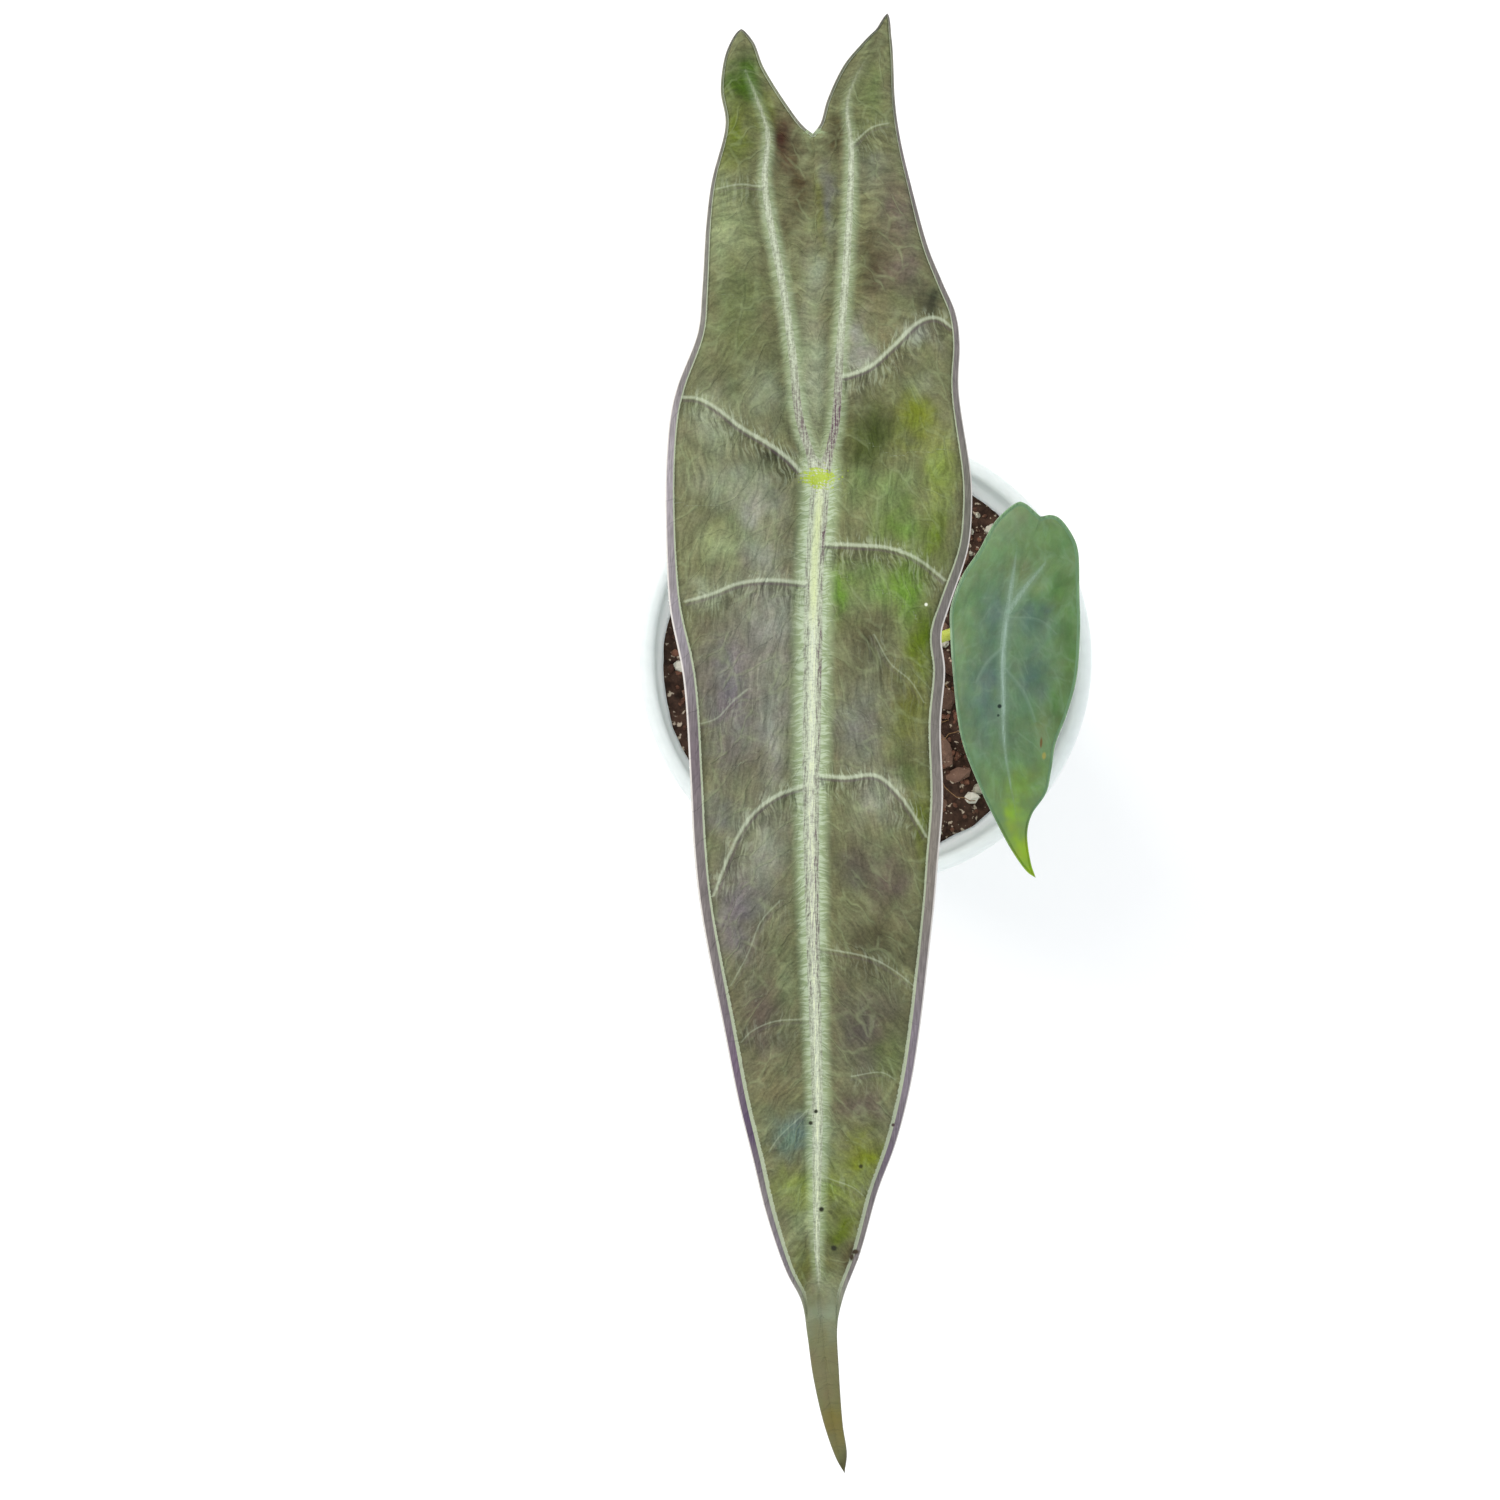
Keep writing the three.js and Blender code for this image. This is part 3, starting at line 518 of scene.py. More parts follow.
# %% Tint patches: across, along, half width, half length, pigment, strength
LARGE_BLADE["base"] = "#686a4b"
LARGE_BLADE["tints"] = [
    (-11.6, 60, 2.8, 4, "vivid green", 1), (-12.7, 51, 2.6, 5.2, "moss", 0.9),
    (-7.9, 55.4, 1.7, 2.8, "moss", 0.8), (-5.2, 50.6, 2, 4.8, "red brown", 1),
    (-3.6, 43.4, 1.9, 5.6, "bark brown", 0.95), (-0.5, 39.8, 0.7, 4.7, "yellow olive", 0.7),
    (1.3, 41.3, 1, 5, "stone", 0.7), (2.5, 51.6, 1.4, 3, "bark brown", 0.85),
    (7, 57.2, 2.4, 6.2, "olive", 0.9), (8.4, 46.4, 3.2, 3, "grey olive", 0.8),
    (11.5, 38, 2.8, 5, "warm brown", 0.9), (7.8, 31, 2.4, 4.6, "bark brown", 0.85),
    # The darkest patch at 16, 27 is a painted shadow near the right margin.
    (12, 30.6, 3, 2.8, "warm brown", 0.85), (16, 27, 2.5, 2.3, "painted shade", 0.85),
    (9.8, 23.1, 2.6, 2.2, "khaki", 0.75), (14.5, 20.9, 2.2, 2, "pale stone", 0.75),
    # The pale grey patch at 5.7, 18.7 is painted light: the relief beside the midrib faces the key light
    # there.
    (5.7, 18.7, 2, 3.5, "painted light grey", 0.6), (-13.8, 37.5, 3.4, 6, "pale olive", 0.7),
    (-12.4, 23.2, 4.4, 8.6, "olive", 0.72), (-8.6, 12.1, 3.2, 3.5, "sage", 0.75),
    (-15.8, 7.6, 2.9, 4, "pale sage", 0.8), (-1.1, 30.3, 1.8, 4.4, "pale sage", 0.75),
    (-1.2, 15, 2, 8.6, "pale sage", 0.8), (-12.4, -1.2, 6.2, 3.4, "sage", 0.8),
    # The darkest patch at -6.4, 2.4 is painted shade under the side rib left of the joint.
    (-8.6, -4.6, 3.2, 2.6, "pale stone", 0.8), (-6.4, 2.4, 2.8, 1.2, "painted shade", 0.6),
    (7, 6.2, 4.6, 5.2, "dark moss", 0.9), (14.5, 13.5, 2.2, 1.6, "sage", 0.7),
    (13.6, 8.4, 2.8, 4, "yellow moss", 0.9), (17, 0.9, 1.9, 4.6, "straw green", 0.9),
    (8.6, -1.8, 5, 3.4, "fresh olive", 0.6), (11.2, -7, 3.6, 2.7, "leaf green", 0.7),
    (16.4, -8.4, 1.9, 4.3, "bright olive", 0.85), (-13.9, -9.7, 4.1, 2.6, "pale olive", 0.85),
    # The pale stone patch at -8.1, -11.1 and the pale grey one at -7.6, -21.6 are painted light beside the
    # midrib, where the relief faces the key light.
    (-8.1, -11.1, 3.5, 2.9, "pale stone", 0.65), (-15.8, -16.2, 3.5, 2, "pale sage", 0.75),
    (-7.6, -21.6, 3.8, 6.8, "painted light grey", 0.55), (2.4, -15.3, 1.6, 3.2, "leaf green", 0.95),
    (6.9, -15.6, 2.8, 3.4, "fresh olive", 0.85), (12, -15.9, 3.2, 4.4, "leaf green", 0.95),
    (14.8, -23.7, 2.3, 4.6, "bright olive", 1), (6.6, -24.4, 3.2, 3.8, "dark olive", 0.9),
    # The pale grey patch at -6.4, -38 is painted light beside the midrib.
    (-12.8, -31.6, 4.6, 9.6, "mauve grey", 0.9), (-6.4, -38, 2.6, 8, "painted light grey", 0.5),
    (6, -35.4, 3.6, 6.2, "stone", 0.8), (12.6, -33.2, 3.2, 4.4, "yellow olive", 0.9),
    (12.8, -41.7, 2.4, 2.9, "dark leaf", 0.85), (8.2, -46.2, 3.2, 3.8, "pale stone", 0.6),
    (15.2, -50, 1.5, 6.6, "moss", 0.85), (-14.2, -49.1, 3.2, 3.6, "stone", 0.8),
    # The pale stone patch at -7.8, -54 is painted light beside the midrib.
    (-7.8, -54, 3.2, 6.4, "pale stone", 0.65), (5.6, -56, 3.2, 3.8, "brown", 0.8),
    (10.3, -59.6, 2.8, 3.8, "warm brown", 0.9), (-12, -63, 3.8, 7, "mauve grey", 0.85),
    # From 67 to 81 mm below the joint the patches also paint the blade's form: the dark olive patch at 8.6,
    # -67.2 and the brown one at 6.6, -80.6 are partly the leaf's brown and partly painted shade right of the
    # midrib, and the soft olive one at -4.4, -74 is partly painted light left of it.
    (8.6, -67.2, 4.9, 3.8, "dark olive", 0.95), (-9, -79.4, 4.2, 6.6, "warm brown", 0.85),
    (-4.4, -74, 1.6, 4.6, "soft olive", 0.7), (6.6, -80.6, 4.6, 7.6, "brown", 0.95),
    (10.4, -86, 2.3, 3.9, "olive", 0.85), (-6.6, -90.1, 3.3, 2.7, "khaki", 0.85),
    (6, -92.4, 3.4, 2.6, "warm brown", 0.85), (-2.5, -97.5, 3.6, 2.9, "slate", 1),
    (7, -100.8, 3.3, 2.8, "yellow moss", 1), (0.2, -105.6, 6.4, 2.7, "straw green", 0.85),
    (3.6, -111.4, 3, 2.8, "moss", 1), (-1.9, -111.2, 2.6, 3, "pale olive", 0.8),
    (-0.9, -118, 3, 2.7, "yellow olive", 0.8), (4.6, -116.8, 1.4, 1.8, "bark brown", 0.8),
    (1.2, -126, 3.9, 3.9, "sage", 0.9), (1.6, -134.9, 4.6, 4.6, "khaki", 0.85),
    (3.4, -143.6, 4.6, 4.3, "straw", 0.9), (5.4, -151.6, 2.2, 2.4, "bark brown", 0.7),
]
LARGE_BLADE["border_base"] = "#716b6b"
LARGE_BLADE["border_tints"] = [
    (-11.0, 58.0, 8.7, 8.7, "#767e5f", 0.9), (7.2, 60.9, 8.7, 7.3, "#71755d", 0.8),
    (-17.6, 33.3, 4.4, 14.6, "#75756b", 0.8), (15.9, 31.8, 4.4, 8.7, "#68645f", 0.7),
    (-21.7, -0.2, 3.6, 13.1, "#a19aa1", 0.8), (-20.5, -23.5, 3.6, 10.2, "#8d8790", 0.8),
    (-18.2, -41.0, 3.7, 8.8, "#675a64", 0.8), (-15.4, -61.6, 3.7, 10.3, "#6a6263", 0.7),
    (-12.5, -85.6, 3.7, 8.9, "#665469", 0.9), (-10.0, -96.2, 3.0, 6.0, "#463155", 0.85),
    (-5.0, -111.7, 3.8, 7.5, "#78707b", 0.7), (21.0, -6.1, 3.6, 13.1, "#606056", 0.8),
    (17.4, -32.2, 3.7, 11.7, "#64605b", 0.7), (16.1, -55.7, 3.7, 11.7, "#7e776d", 0.7),
    (12.7, -85.6, 3.7, 10.4, "#776d7a", 0.8), (9.9, -99.3, 3.0, 7.5, "#615367", 0.8),
]
SMALL_BLADE["base"] = "#668358"
SMALL_BLADE["tints"] = [
    (-0.3, 18.1, 5.1, 3.5, "light green", 0.85), (7.5, 14.8, 3.5, 4.7, "fresh green", 0.85),
    (-4.8, 9.9, 3.5, 4.3, "grass green", 0.8), (1.6, 7.6, 4.3, 3.1, "dull green", 0.8),
    (10.2, 3.1, 2.3, 6.6, "deep grass", 0.8), (-6.9, -0.2, 2.7, 5.4, "grass green", 0.8),
    (-2.3, -1.2, 3, 6.4, "grey green", 0.85), (4.6, -1.2, 3.2, 5, "blue green", 0.8),
    (-9.3, -9.5, 1.8, 6.6, "light green", 0.85), (-4.1, -13.4, 3.4, 6, "grey green", 0.85),
    (4.6, -12.4, 4, 6.4, "blue green", 0.8), (11.8, -9.5, 1.8, 8.6, "deep grass", 0.9),
    (10.0, -19.6, 2.2, 4.3, "deep grass", 0.85), (2.4, -24.1, 3.2, 4.7, "mid green", 0.7),
    (7.5, -24.1, 1.8, 3.2, "dull green", 0.7), (3.6, -34.0, 3.6, 3.6, "lime", 0.75),
    (2.2, -40.1, 2.4, 2.4, "bright lime", 0.8), (3.3, -44.8, 1.4, 2.8, "lime", 0.8),
    (-4.3, -20.5, 4.5, 7, "grey green", 0.7), (5.6, -46.5, 4, 3.4, "bright lime", 0.9),
    (7.4, -52, 3.6, 4.5, "bright lime", 1),
]
SMALL_BLADE["border_base"] = "#74966e"
SMALL_BLADE["border_tints"] = [(-11, -8, 3, 16, "#96b192", 0.9)]


def tinted(base, patches, across, along):
    """Ovals blended one over another, their outlines pushed about so that none looks round."""
    colour = np.tile(np.array(linear(base)), (len(across), 1))
    push = []
    for reach, coarse_start, fine_start, seed in ((1.1, 9, 20, 11), (1.6, 30, 40, 13)):
        coarse = soft_noise(across / 2.6 + coarse_start, along / 3.1 + 90, seed)
        fine = soft_noise(across / 1.1 + fine_start, along + 90, seed + 1)
        push.append(reach * (coarse + 0.5 * fine))
    across, along = across + push[0], along + push[1]
    for a, b, half_a, half_b, shade, strength in patches:
        share = strength * np.exp(-(((across - a) / half_a) ** 2) - ((along - b) / half_b) ** 2)
        colour += (np.array(linear(PIGMENTS.get(shade, shade))) - colour) * share[:, None]
    return colour


# %% [markdown]
# ## The blade's mesh
# Rows run across the leaf and columns run from the midline, or from a lobe's inner edge, to the margin, so
# the grid follows the outline and the two halves share the midline's points. The upper and under faces have
# the same grid, and a third ring of points at the outline closes the margin as a small round edge.

# %% Rows of points across a half of the blade
THICKNESS = 0.6
EDGE_INSET = 0.22


def blade_rows(blade, side):
    sign = -1 if side == 0 else 1
    low, high, top = blade["tip"][1], blade["notch"][1], blade["apex"][side][1]
    body = np.linspace(low, high, blade["rows"] + 1)
    count = max(6, int(blade["rows"] * (top - high) / (high - low)))
    lobe = high + (top - high) * np.sin(np.linspace(0, np.pi / 2, count + 1)[1:])
    along = np.concatenate([body, lobe])
    outer = across_at(blade["outer"][side], along)
    inner = np.where(along <= high, across_at(blade["mid"], along), across_at(blade["inner"][side], along))
    inset = np.minimum(EDGE_INSET, np.abs(outer - inner) * 0.3)
    outer_inset = outer - sign * inset
    inner_inset = inner + np.where(along <= high, 0, sign * inset)
    share = np.linspace(0, 1, blade["columns"] + 1)[None, :]
    across = inner_inset[:, None] + (outer_inset - inner_inset)[:, None] * share
    for row, place in ((0, blade["tip"]), (-1, blade["apex"][side])):
        across[row] = place[0]
        outer[row] = inner[row] = place[0]
    return along, across, inner, outer


# %% Grid of both halves: the plan, which half each point is on, its faces, and the outline's own places
def blade_grid(blade):
    columns, body_rows = blade["columns"], blade["rows"]
    plan, halves, faces, ids, outline = [], [], [], [], {}
    start = 0
    for side in (0, 1):
        along, across, inner, outer = blade_rows(blade, side)
        size = across.size
        index = start + np.arange(size).reshape(across.shape)
        index[0], index[-1] = index[0, 0], index[-1, 0]
        if side == 1:
            index[:body_rows + 1, 0] = ids[0][:body_rows + 1, 0]
            index[0] = ids[0][0, 0]
        ids.append(index)
        plan.append(np.stack([across, np.repeat(along[:, None], columns + 1, axis=1)], -1).reshape(-1, 2))
        halves.append(np.full(size, side))
        quads = np.stack([index[:-1, :-1], index[:-1, 1:], index[1:, 1:], index[1:, :-1]], -1).reshape(-1, 4)
        faces.append(quads if side == 1 else quads[:, ::-1])
        for row_ids, edge, first in ((index[:, -1], outer, 0), (index[:, 0], inner, body_rows + 1)):
            outline.update({int(i): (a, b) for i, a, b in zip(row_ids[first:], edge[first:], along[first:])})
        start += size
    faces = [list(dict.fromkeys(face)) for face in np.vstack(faces).tolist()]
    faces = [face for face in faces if len(face) > 2]
    return np.vstack(plan), np.concatenate(halves), faces, outline


def boundary_loop(faces):
    follow = {}
    for face in faces:
        for p, q in zip(face, face[1:] + face[:1]):
            if follow.pop((q, p), None) is None:
                follow[(p, q)] = True
    step = {p: q for p, q in follow}
    loop = [next(iter(step))]
    while step[loop[-1]] != loop[0]:
        loop.append(step[loop[-1]])
    return loop


# %% Build a blade: two faces that never cross, closed by a ring, with the measures that its finish reads
def blade_heights(blade, at, halves, across, along):
    top = np.zeros(len(across))
    outward = np.zeros(len(across))
    for side in (0, 1):
        here = halves == side
        top[here], outward[here] = broad_height(blade, side, across[here], along[here])
    outward = np.abs(outward)
    broad_top = top.copy()
    top = top + fine_relief(blade, at, across, along, outward)
    under = broad_top - THICKNESS - under_ribs(blade, at, along) + 0.6 * (top - broad_top - 0.1)
    return top, np.minimum(under, top - 0.45), outward


def store(mesh, key, values):
    kind, slot = {1: ("FLOAT", "value"), 3: ("FLOAT_VECTOR", "vector"), 4: ("FLOAT_COLOR", "color")}[
        values.size // len(values)]
    mesh.attributes.new(key, kind, "POINT").data.foreach_set(slot, values.astype(np.float32).ravel())


def blade_mesh(name, blade, material):
    plan, halves, top_faces, outline = blade_grid(blade)
    across, along = plan.T
    at = survey_points(blade, across, along)
    top, under, outward = blade_heights(blade, at, halves, across, along)
    count = len(plan)
    loop = boundary_loop(top_faces)
    ring_plan = np.array([outline.get(i, tuple(plan[i])) for i in loop])
    ring = {vertex: 2 * count + k for k, vertex in enumerate(loop)}
    faces = top_faces + [[i + count for i in reversed(face)] for face in top_faces]
    for p, q in zip(loop, loop[1:] + loop[:1]):
        faces += [[q, p, ring[p], ring[q]], [ring[q], ring[p], p + count, q + count]]
    origin = np.array(blade["origin"], float)
    points = np.vstack([
        np.column_stack([plan + origin[:2], top]),
        np.column_stack([plan + origin[:2], under]),
        np.column_stack([ring_plan + origin[:2], (top[loop] + under[loop]) / 2]),
    ])
    used = sorted({i for face in faces for i in face})
    place_of = {old: new for new, old in enumerate(used)}
    piece = mesh_object(name, points[used], [[place_of[i] for i in face] for face in faces], material)
    for key, values in {
        "place": np.column_stack([outward, along, across]),
        "lines": np.column_stack([at["signed"], at["side"] * at["sign"], at["strength"]]),
        "shares": np.column_stack([at["half"], at["rim"], at["flush"]]),
        "under": np.zeros(count),
        "tint": tinted(blade["base"], blade["tints"], across, along),
        "margin": tinted(blade["border_base"], blade["border_tints"], across, along),
    }.items():
        ring_values = values[loop].copy()
        if key == "shares":
            ring_values[:, 1] = 0
        under_values = values + 1 if key == "under" else values
        store(piece.data, key, np.concatenate([values, under_values, ring_values])[used])
    return piece


# %% [markdown]
# ## The blade's finish
# A young alocasia leaf is a waxy skin under short silvery hairs. The hairs stand square to the ribs and turn
# down the leaf further out, so a few noises are each stretched along their own direction of the leaf's
# coordinates, and mixed. Each noise's size is the length and width of a hair stroke in millimetres. Ribs,
# creases and the margin are masks on distances that the mesh carries, which stay sharp at any zoom and need
# no picture.

# %% Leaf skin: waxy cuticle under short hairs, so satin, softly mottled, with fine pale hairs by the ribs
def blade_material(name, look):
    material, tree = new_material(name)
    read = {key: add(tree, "Attribute", take=kind, attribute_name=key) for key, kind in (
        ("place", "Vector"), ("lines", "Vector"), ("shares", "Vector"),
        ("tint", "Color"), ("margin", "Color"), ("under", "Fac"))}
    place = read["place"]
    outward, along, across = add(tree, "SeparateXYZ", {0: place}).node.outputs
    rib, side, strength = add(tree, "SeparateXYZ", {0: read["lines"]}).node.outputs
    half, rim, flush = add(tree, "SeparateXYZ", {0: read["shares"]}).node.outputs

    # The leaf's grain wanders: coordinates are pushed about by up to 1.7 mm over every 6 mm
    wander = add(tree, "TexNoise", {"Vector": place, "Scale": 1 / 6, "Detail": 2.0}, "Color")
    centred = add(tree, "VectorMath", {0: wander, 1: (0.5, 0.5, 0.5)}, operation="SUBTRACT")
    bent = add(tree, "VectorMath", {
        0: centred, 1: (look["wander"], look["wander"], 0), 2: place,
    }, operation="MULTIPLY_ADD")

    # Strokes: degrees from square to the midrib (below zero is towards the drip tip), length and width in mm
    strokes = {}
    plan = add(tree, "CombineXYZ", {0: across, 1: along})
    for key, degrees, length, width in look["strokes"]:
        turned_place = add(tree, "Mapping", {
            "Vector": plan if key == "thread" else bent,
            "Rotation": (0, 0, math.radians(degrees)), "Scale": (length, width, 5.0),
        }, vector_type="TEXTURE")
        strokes[key] = add(tree, "TexNoise", {
            "Vector": turned_place, "Scale": 1.0, "Detail": 3.0, "Roughness": 0.6,
        })

    # Grain, drift and mottle: sizes in mm
    grain = add(tree, "TexNoise", {"Vector": plan, "Scale": 1 / 0.42, "Detail": 2.0, "Roughness": 0.7})
    drift = add(tree, "TexNoise", {"Vector": bent, "Scale": 1 / 4.5, "Detail": 3.0})
    wide = add(tree, "TexNoise", {"Vector": place, "Scale": 1 / 16, "Detail": 1.0})
    mottle = add(tree, "TexNoise", {
        "Vector": bent, "Scale": 1 / 4, "Detail": 4.0, "Roughness": 0.55}, "Color")

    # Distances in mm, or in shares of a width, from the lines that the masks follow
    fringe = add(tree, "MapRange", {
        "Value": half, "From Min": 0.1, "From Max": 1.3,
        "To Min": look["fringe"] * 0.35, "To Max": look["fringe"]})
    line_width = add(tree, "MapRange", {
        "Value": along, "From Min": -60.0, "From Max": -112.0,
        "To Min": look["rim_line"], "To Max": look["rim_line_low"]})
    off = {}
    for key, operation, *inputs in (
        ("rib", "ABSOLUTE", rib),
        ("rib share", "DIVIDE", "rib", half),
        ("past rib", "SUBTRACT", "rib", half),
        ("fringe", "DIVIDE", "past rib", fringe),
        ("comb", "MULTIPLY_ADD", "fringe", -look["comb"], strokes["hair"]),
        ("past rim", "SUBTRACT", rim, 1.0),
        ("line", "DIVIDE", "past rim", line_width),
        ("line ragged", "ADD", "line", grain),
        ("side width", "MAXIMUM", strength, 0.3),
        ("side moved", "SUBTRACT", side, look["side_shift"]),
        ("side", "ABSOLUTE", "side moved"),
        ("side share", "DIVIDE", "side", "side width"),
        ("side ragged", "MULTIPLY_ADD", strokes["fan"], -0.9, "side share"),
        ("crease moved", "ADD", side, 0.3),
        ("crease", "ABSOLUTE", "crease moved"),
        ("ridge moved", "ADD", along, 11.0),
        ("ridge", "ABSOLUTE", "ridge moved"),
        ("ragged", "ADD", strokes["hair"], grain),
    ):
        sockets = {i: off[value] if isinstance(value, str) else value for i, value in enumerate(inputs)}
        off[key] = add(tree, "Math", sockets, operation=operation)

    def off_oval(a, b, half_a, half_b):
        """How far off the middle of an oval, in shares of its half width and half length."""
        apart = add(tree, "VectorMath", {0: plan, 1: (a, b, 0)}, operation="SUBTRACT")
        flat = add(tree, "VectorMath", {0: apart, 1: (1 / half_a, 1 / half_b, 0)}, operation="MULTIPLY")
        return add(tree, "VectorMath", {0: flat}, operation="LENGTH")

    # Joint spot and bare notch, made ragged by the hairs
    for key, oval in look["spots"].items():
        off[key] = add(tree, "Math", {0: off["ragged"], 1: 3.0, 2: off_oval(*oval)}, operation="MULTIPLY_ADD")

    # Masks: what is measured, where the mask is none and where it is full
    masks = {}
    for key, source, none, full in (
        ("steep", along, -66.0, -50.0),
        ("below lobes", along, 16.0, 4.0),
        ("lobes", along, 14.0, 28.0),
        ("away", off["past rib"], 0.8, 3.4),
        ("near", off["past rib"], 3.6, 0.4),
        # The inside mask marks painted shade just inside the raised margin
        ("inside", rim, look["shade_reach"], 1.15),
        ("glow", off["fringe"], 1.2, 0.1),
        ("comb", off["comb"], 0.38, 0.54),
        ("rib", half, 0.12, 0.5),
        ("wide rib", half, 0.55, 1.1),
        ("band", off["rib share"], 1.15, 0.85),
        ("core", off["rib share"], 0.66, 0.1),
        ("flank", off["rib share"], 0.3, 0.48),
        ("below joint", along, 1.0, -3.0),
        ("ridge", off["ridge"], 12.0, 6.0),
        ("thread", strokes["thread"], 0.5, 0.58),
        ("dull thread", strokes["thread"], 0.5, 0.42),
        ("halo", side, 2.4, 0.4),
        # fan and dark fan mark painted shade under the side ribs; pale fan marks hair strokes there
        ("fan", side, -5.0, -0.8),
        ("above", side, -0.2, 0.3),
        ("pale fan", strokes["fan"], 0.52, 0.62),
        ("dark fan", strokes["fan"], 0.5, 0.4),
        ("side", off["side share"], look["side_half"], look["side_half"] * 0.3),
        ("side core", off["side ragged"], -0.1, -0.35),
        # The crease mask marks painted shade in the furrow just below a side rib
        ("crease", off["crease"], 0.32, 0.06),
        ("line", off["line ragged"], 1.7, 1.45),
        ("rim", rim, 1.03, 0.97),
        # The lip mask marks a painted highlight along the leaf's outer edge
        ("lip", rim, 0.22, 0.12),
        ("joint", off["joint"], 4.2, 3.5),
        ("notch", off["notch"], 4.4, 3.2),
        ("body", along, look["tip_start"] - 2.0, look["tip_start"] + 5.0),
        ("speck", grain, 0.5, 0.6),
        ("dull speck", grain, 0.48, 0.38),
        ("broken", drift, 0.4, 0.58),
    ):
        masks[key] = add(tree, "MapRange", {
            "Value": source, "From Min": none, "From Max": full,
        }, interpolation_type="SMOOTHSTEP")

    # Masks that hold only where two others do
    for key, first, second in (
        ("upright", "steep", "below lobes"), ("glow", "glow", "rib"), ("near", "near", "rib"),
        ("band", "band", "rib"), ("core", "core", "rib"), ("flank", "flank", "band"),
        ("cream", "core", "below joint"), ("broken", "broken", "body"), ("wide glow", "glow", "wide rib"),
        ("wide dull", "dull thread", "wide rib"),
    ):
        masks[key] = add(tree, "Math", {0: masks[first], 1: masks[second]}, operation="MULTIPLY")
    below = add(tree, "Math", {0: 1.0, 1: masks["above"]}, operation="SUBTRACT")
    for key, part in (("fan", below), ("halo", masks["above"])):
        kept = add(tree, "Math", {0: masks[key], 1: part}, operation="MULTIPLY")
        masks[key] = add(tree, "Math", {0: kept, 1: strength}, operation="MULTIPLY")

    # Net of veinlets: cell length and width in mm, half width of the line in mm
    nets = {}
    for key, degrees, length, width, line in look["nets"]:
        cell_place = add(tree, "Mapping", {
            "Vector": bent, "Rotation": (0, 0, math.radians(degrees)), "Scale": (length, width, 9.0),
        }, vector_type="TEXTURE")
        cell = add(tree, "TexVoronoi", {"Vector": cell_place, "Scale": 1.0}, feature="DISTANCE_TO_EDGE")
        nets[key] = add(tree, "MapRange", {
            "Value": cell, "From Min": line * 2 / width, "From Max": line * 0.4 / width,
        }, interpolation_type="SMOOTHSTEP")

    body = add(tree, "Mix", {"Factor": masks["upright"], 2: strokes["slanting"], 3: strokes["upright"]})
    body = add(tree, "Mix", {"Factor": masks["lobes"], 2: body, 3: strokes["square"]})
    stroke = add(tree, "Mix", {"Factor": masks["away"], 2: strokes["hair"], 3: body})

    # Light and dark of the skin: each pattern, where it shows and how deep it goes, multiplied together
    value = None
    for source, where, depth in (
        (strokes["hair"], masks["near"], look["hair_depth"]),
        (body, masks["body"], look["stroke_depth"]),
        (grain, masks["body"], look["grain_depth"]),
        (drift, masks["body"], look["drift_depth"]),
    ):
        centred = add(tree, "Math", {0: source, 1: 0.5}, operation="SUBTRACT")
        deep = add(tree, "Math", {0: where, 1: depth * 6}, operation="MULTIPLY")
        shade = add(tree, "Math", {0: centred, 1: deep, 2: 1.0}, operation="MULTIPLY_ADD")
        value = shade if value is None else add(tree, "Math", {0: value, 1: shade}, operation="MULTIPLY")
    streaks = add(tree, "MapRange", {
        "Value": strokes["thread"], "From Min": 0.35, "From Max": 0.65, "To Min": 0.75, "To Max": 1.25})
    skin = add(tree, "HueSaturation", {"Color": read["tint"], "Value": value})
    margin = add(tree, "HueSaturation", {"Color": read["margin"], "Value": streaks})
    colour = add(tree, "Mix", {
        "Factor": look["mottle"], 6: skin, 7: mottle,
    }, data_type="RGBA", blend_type="OVERLAY")

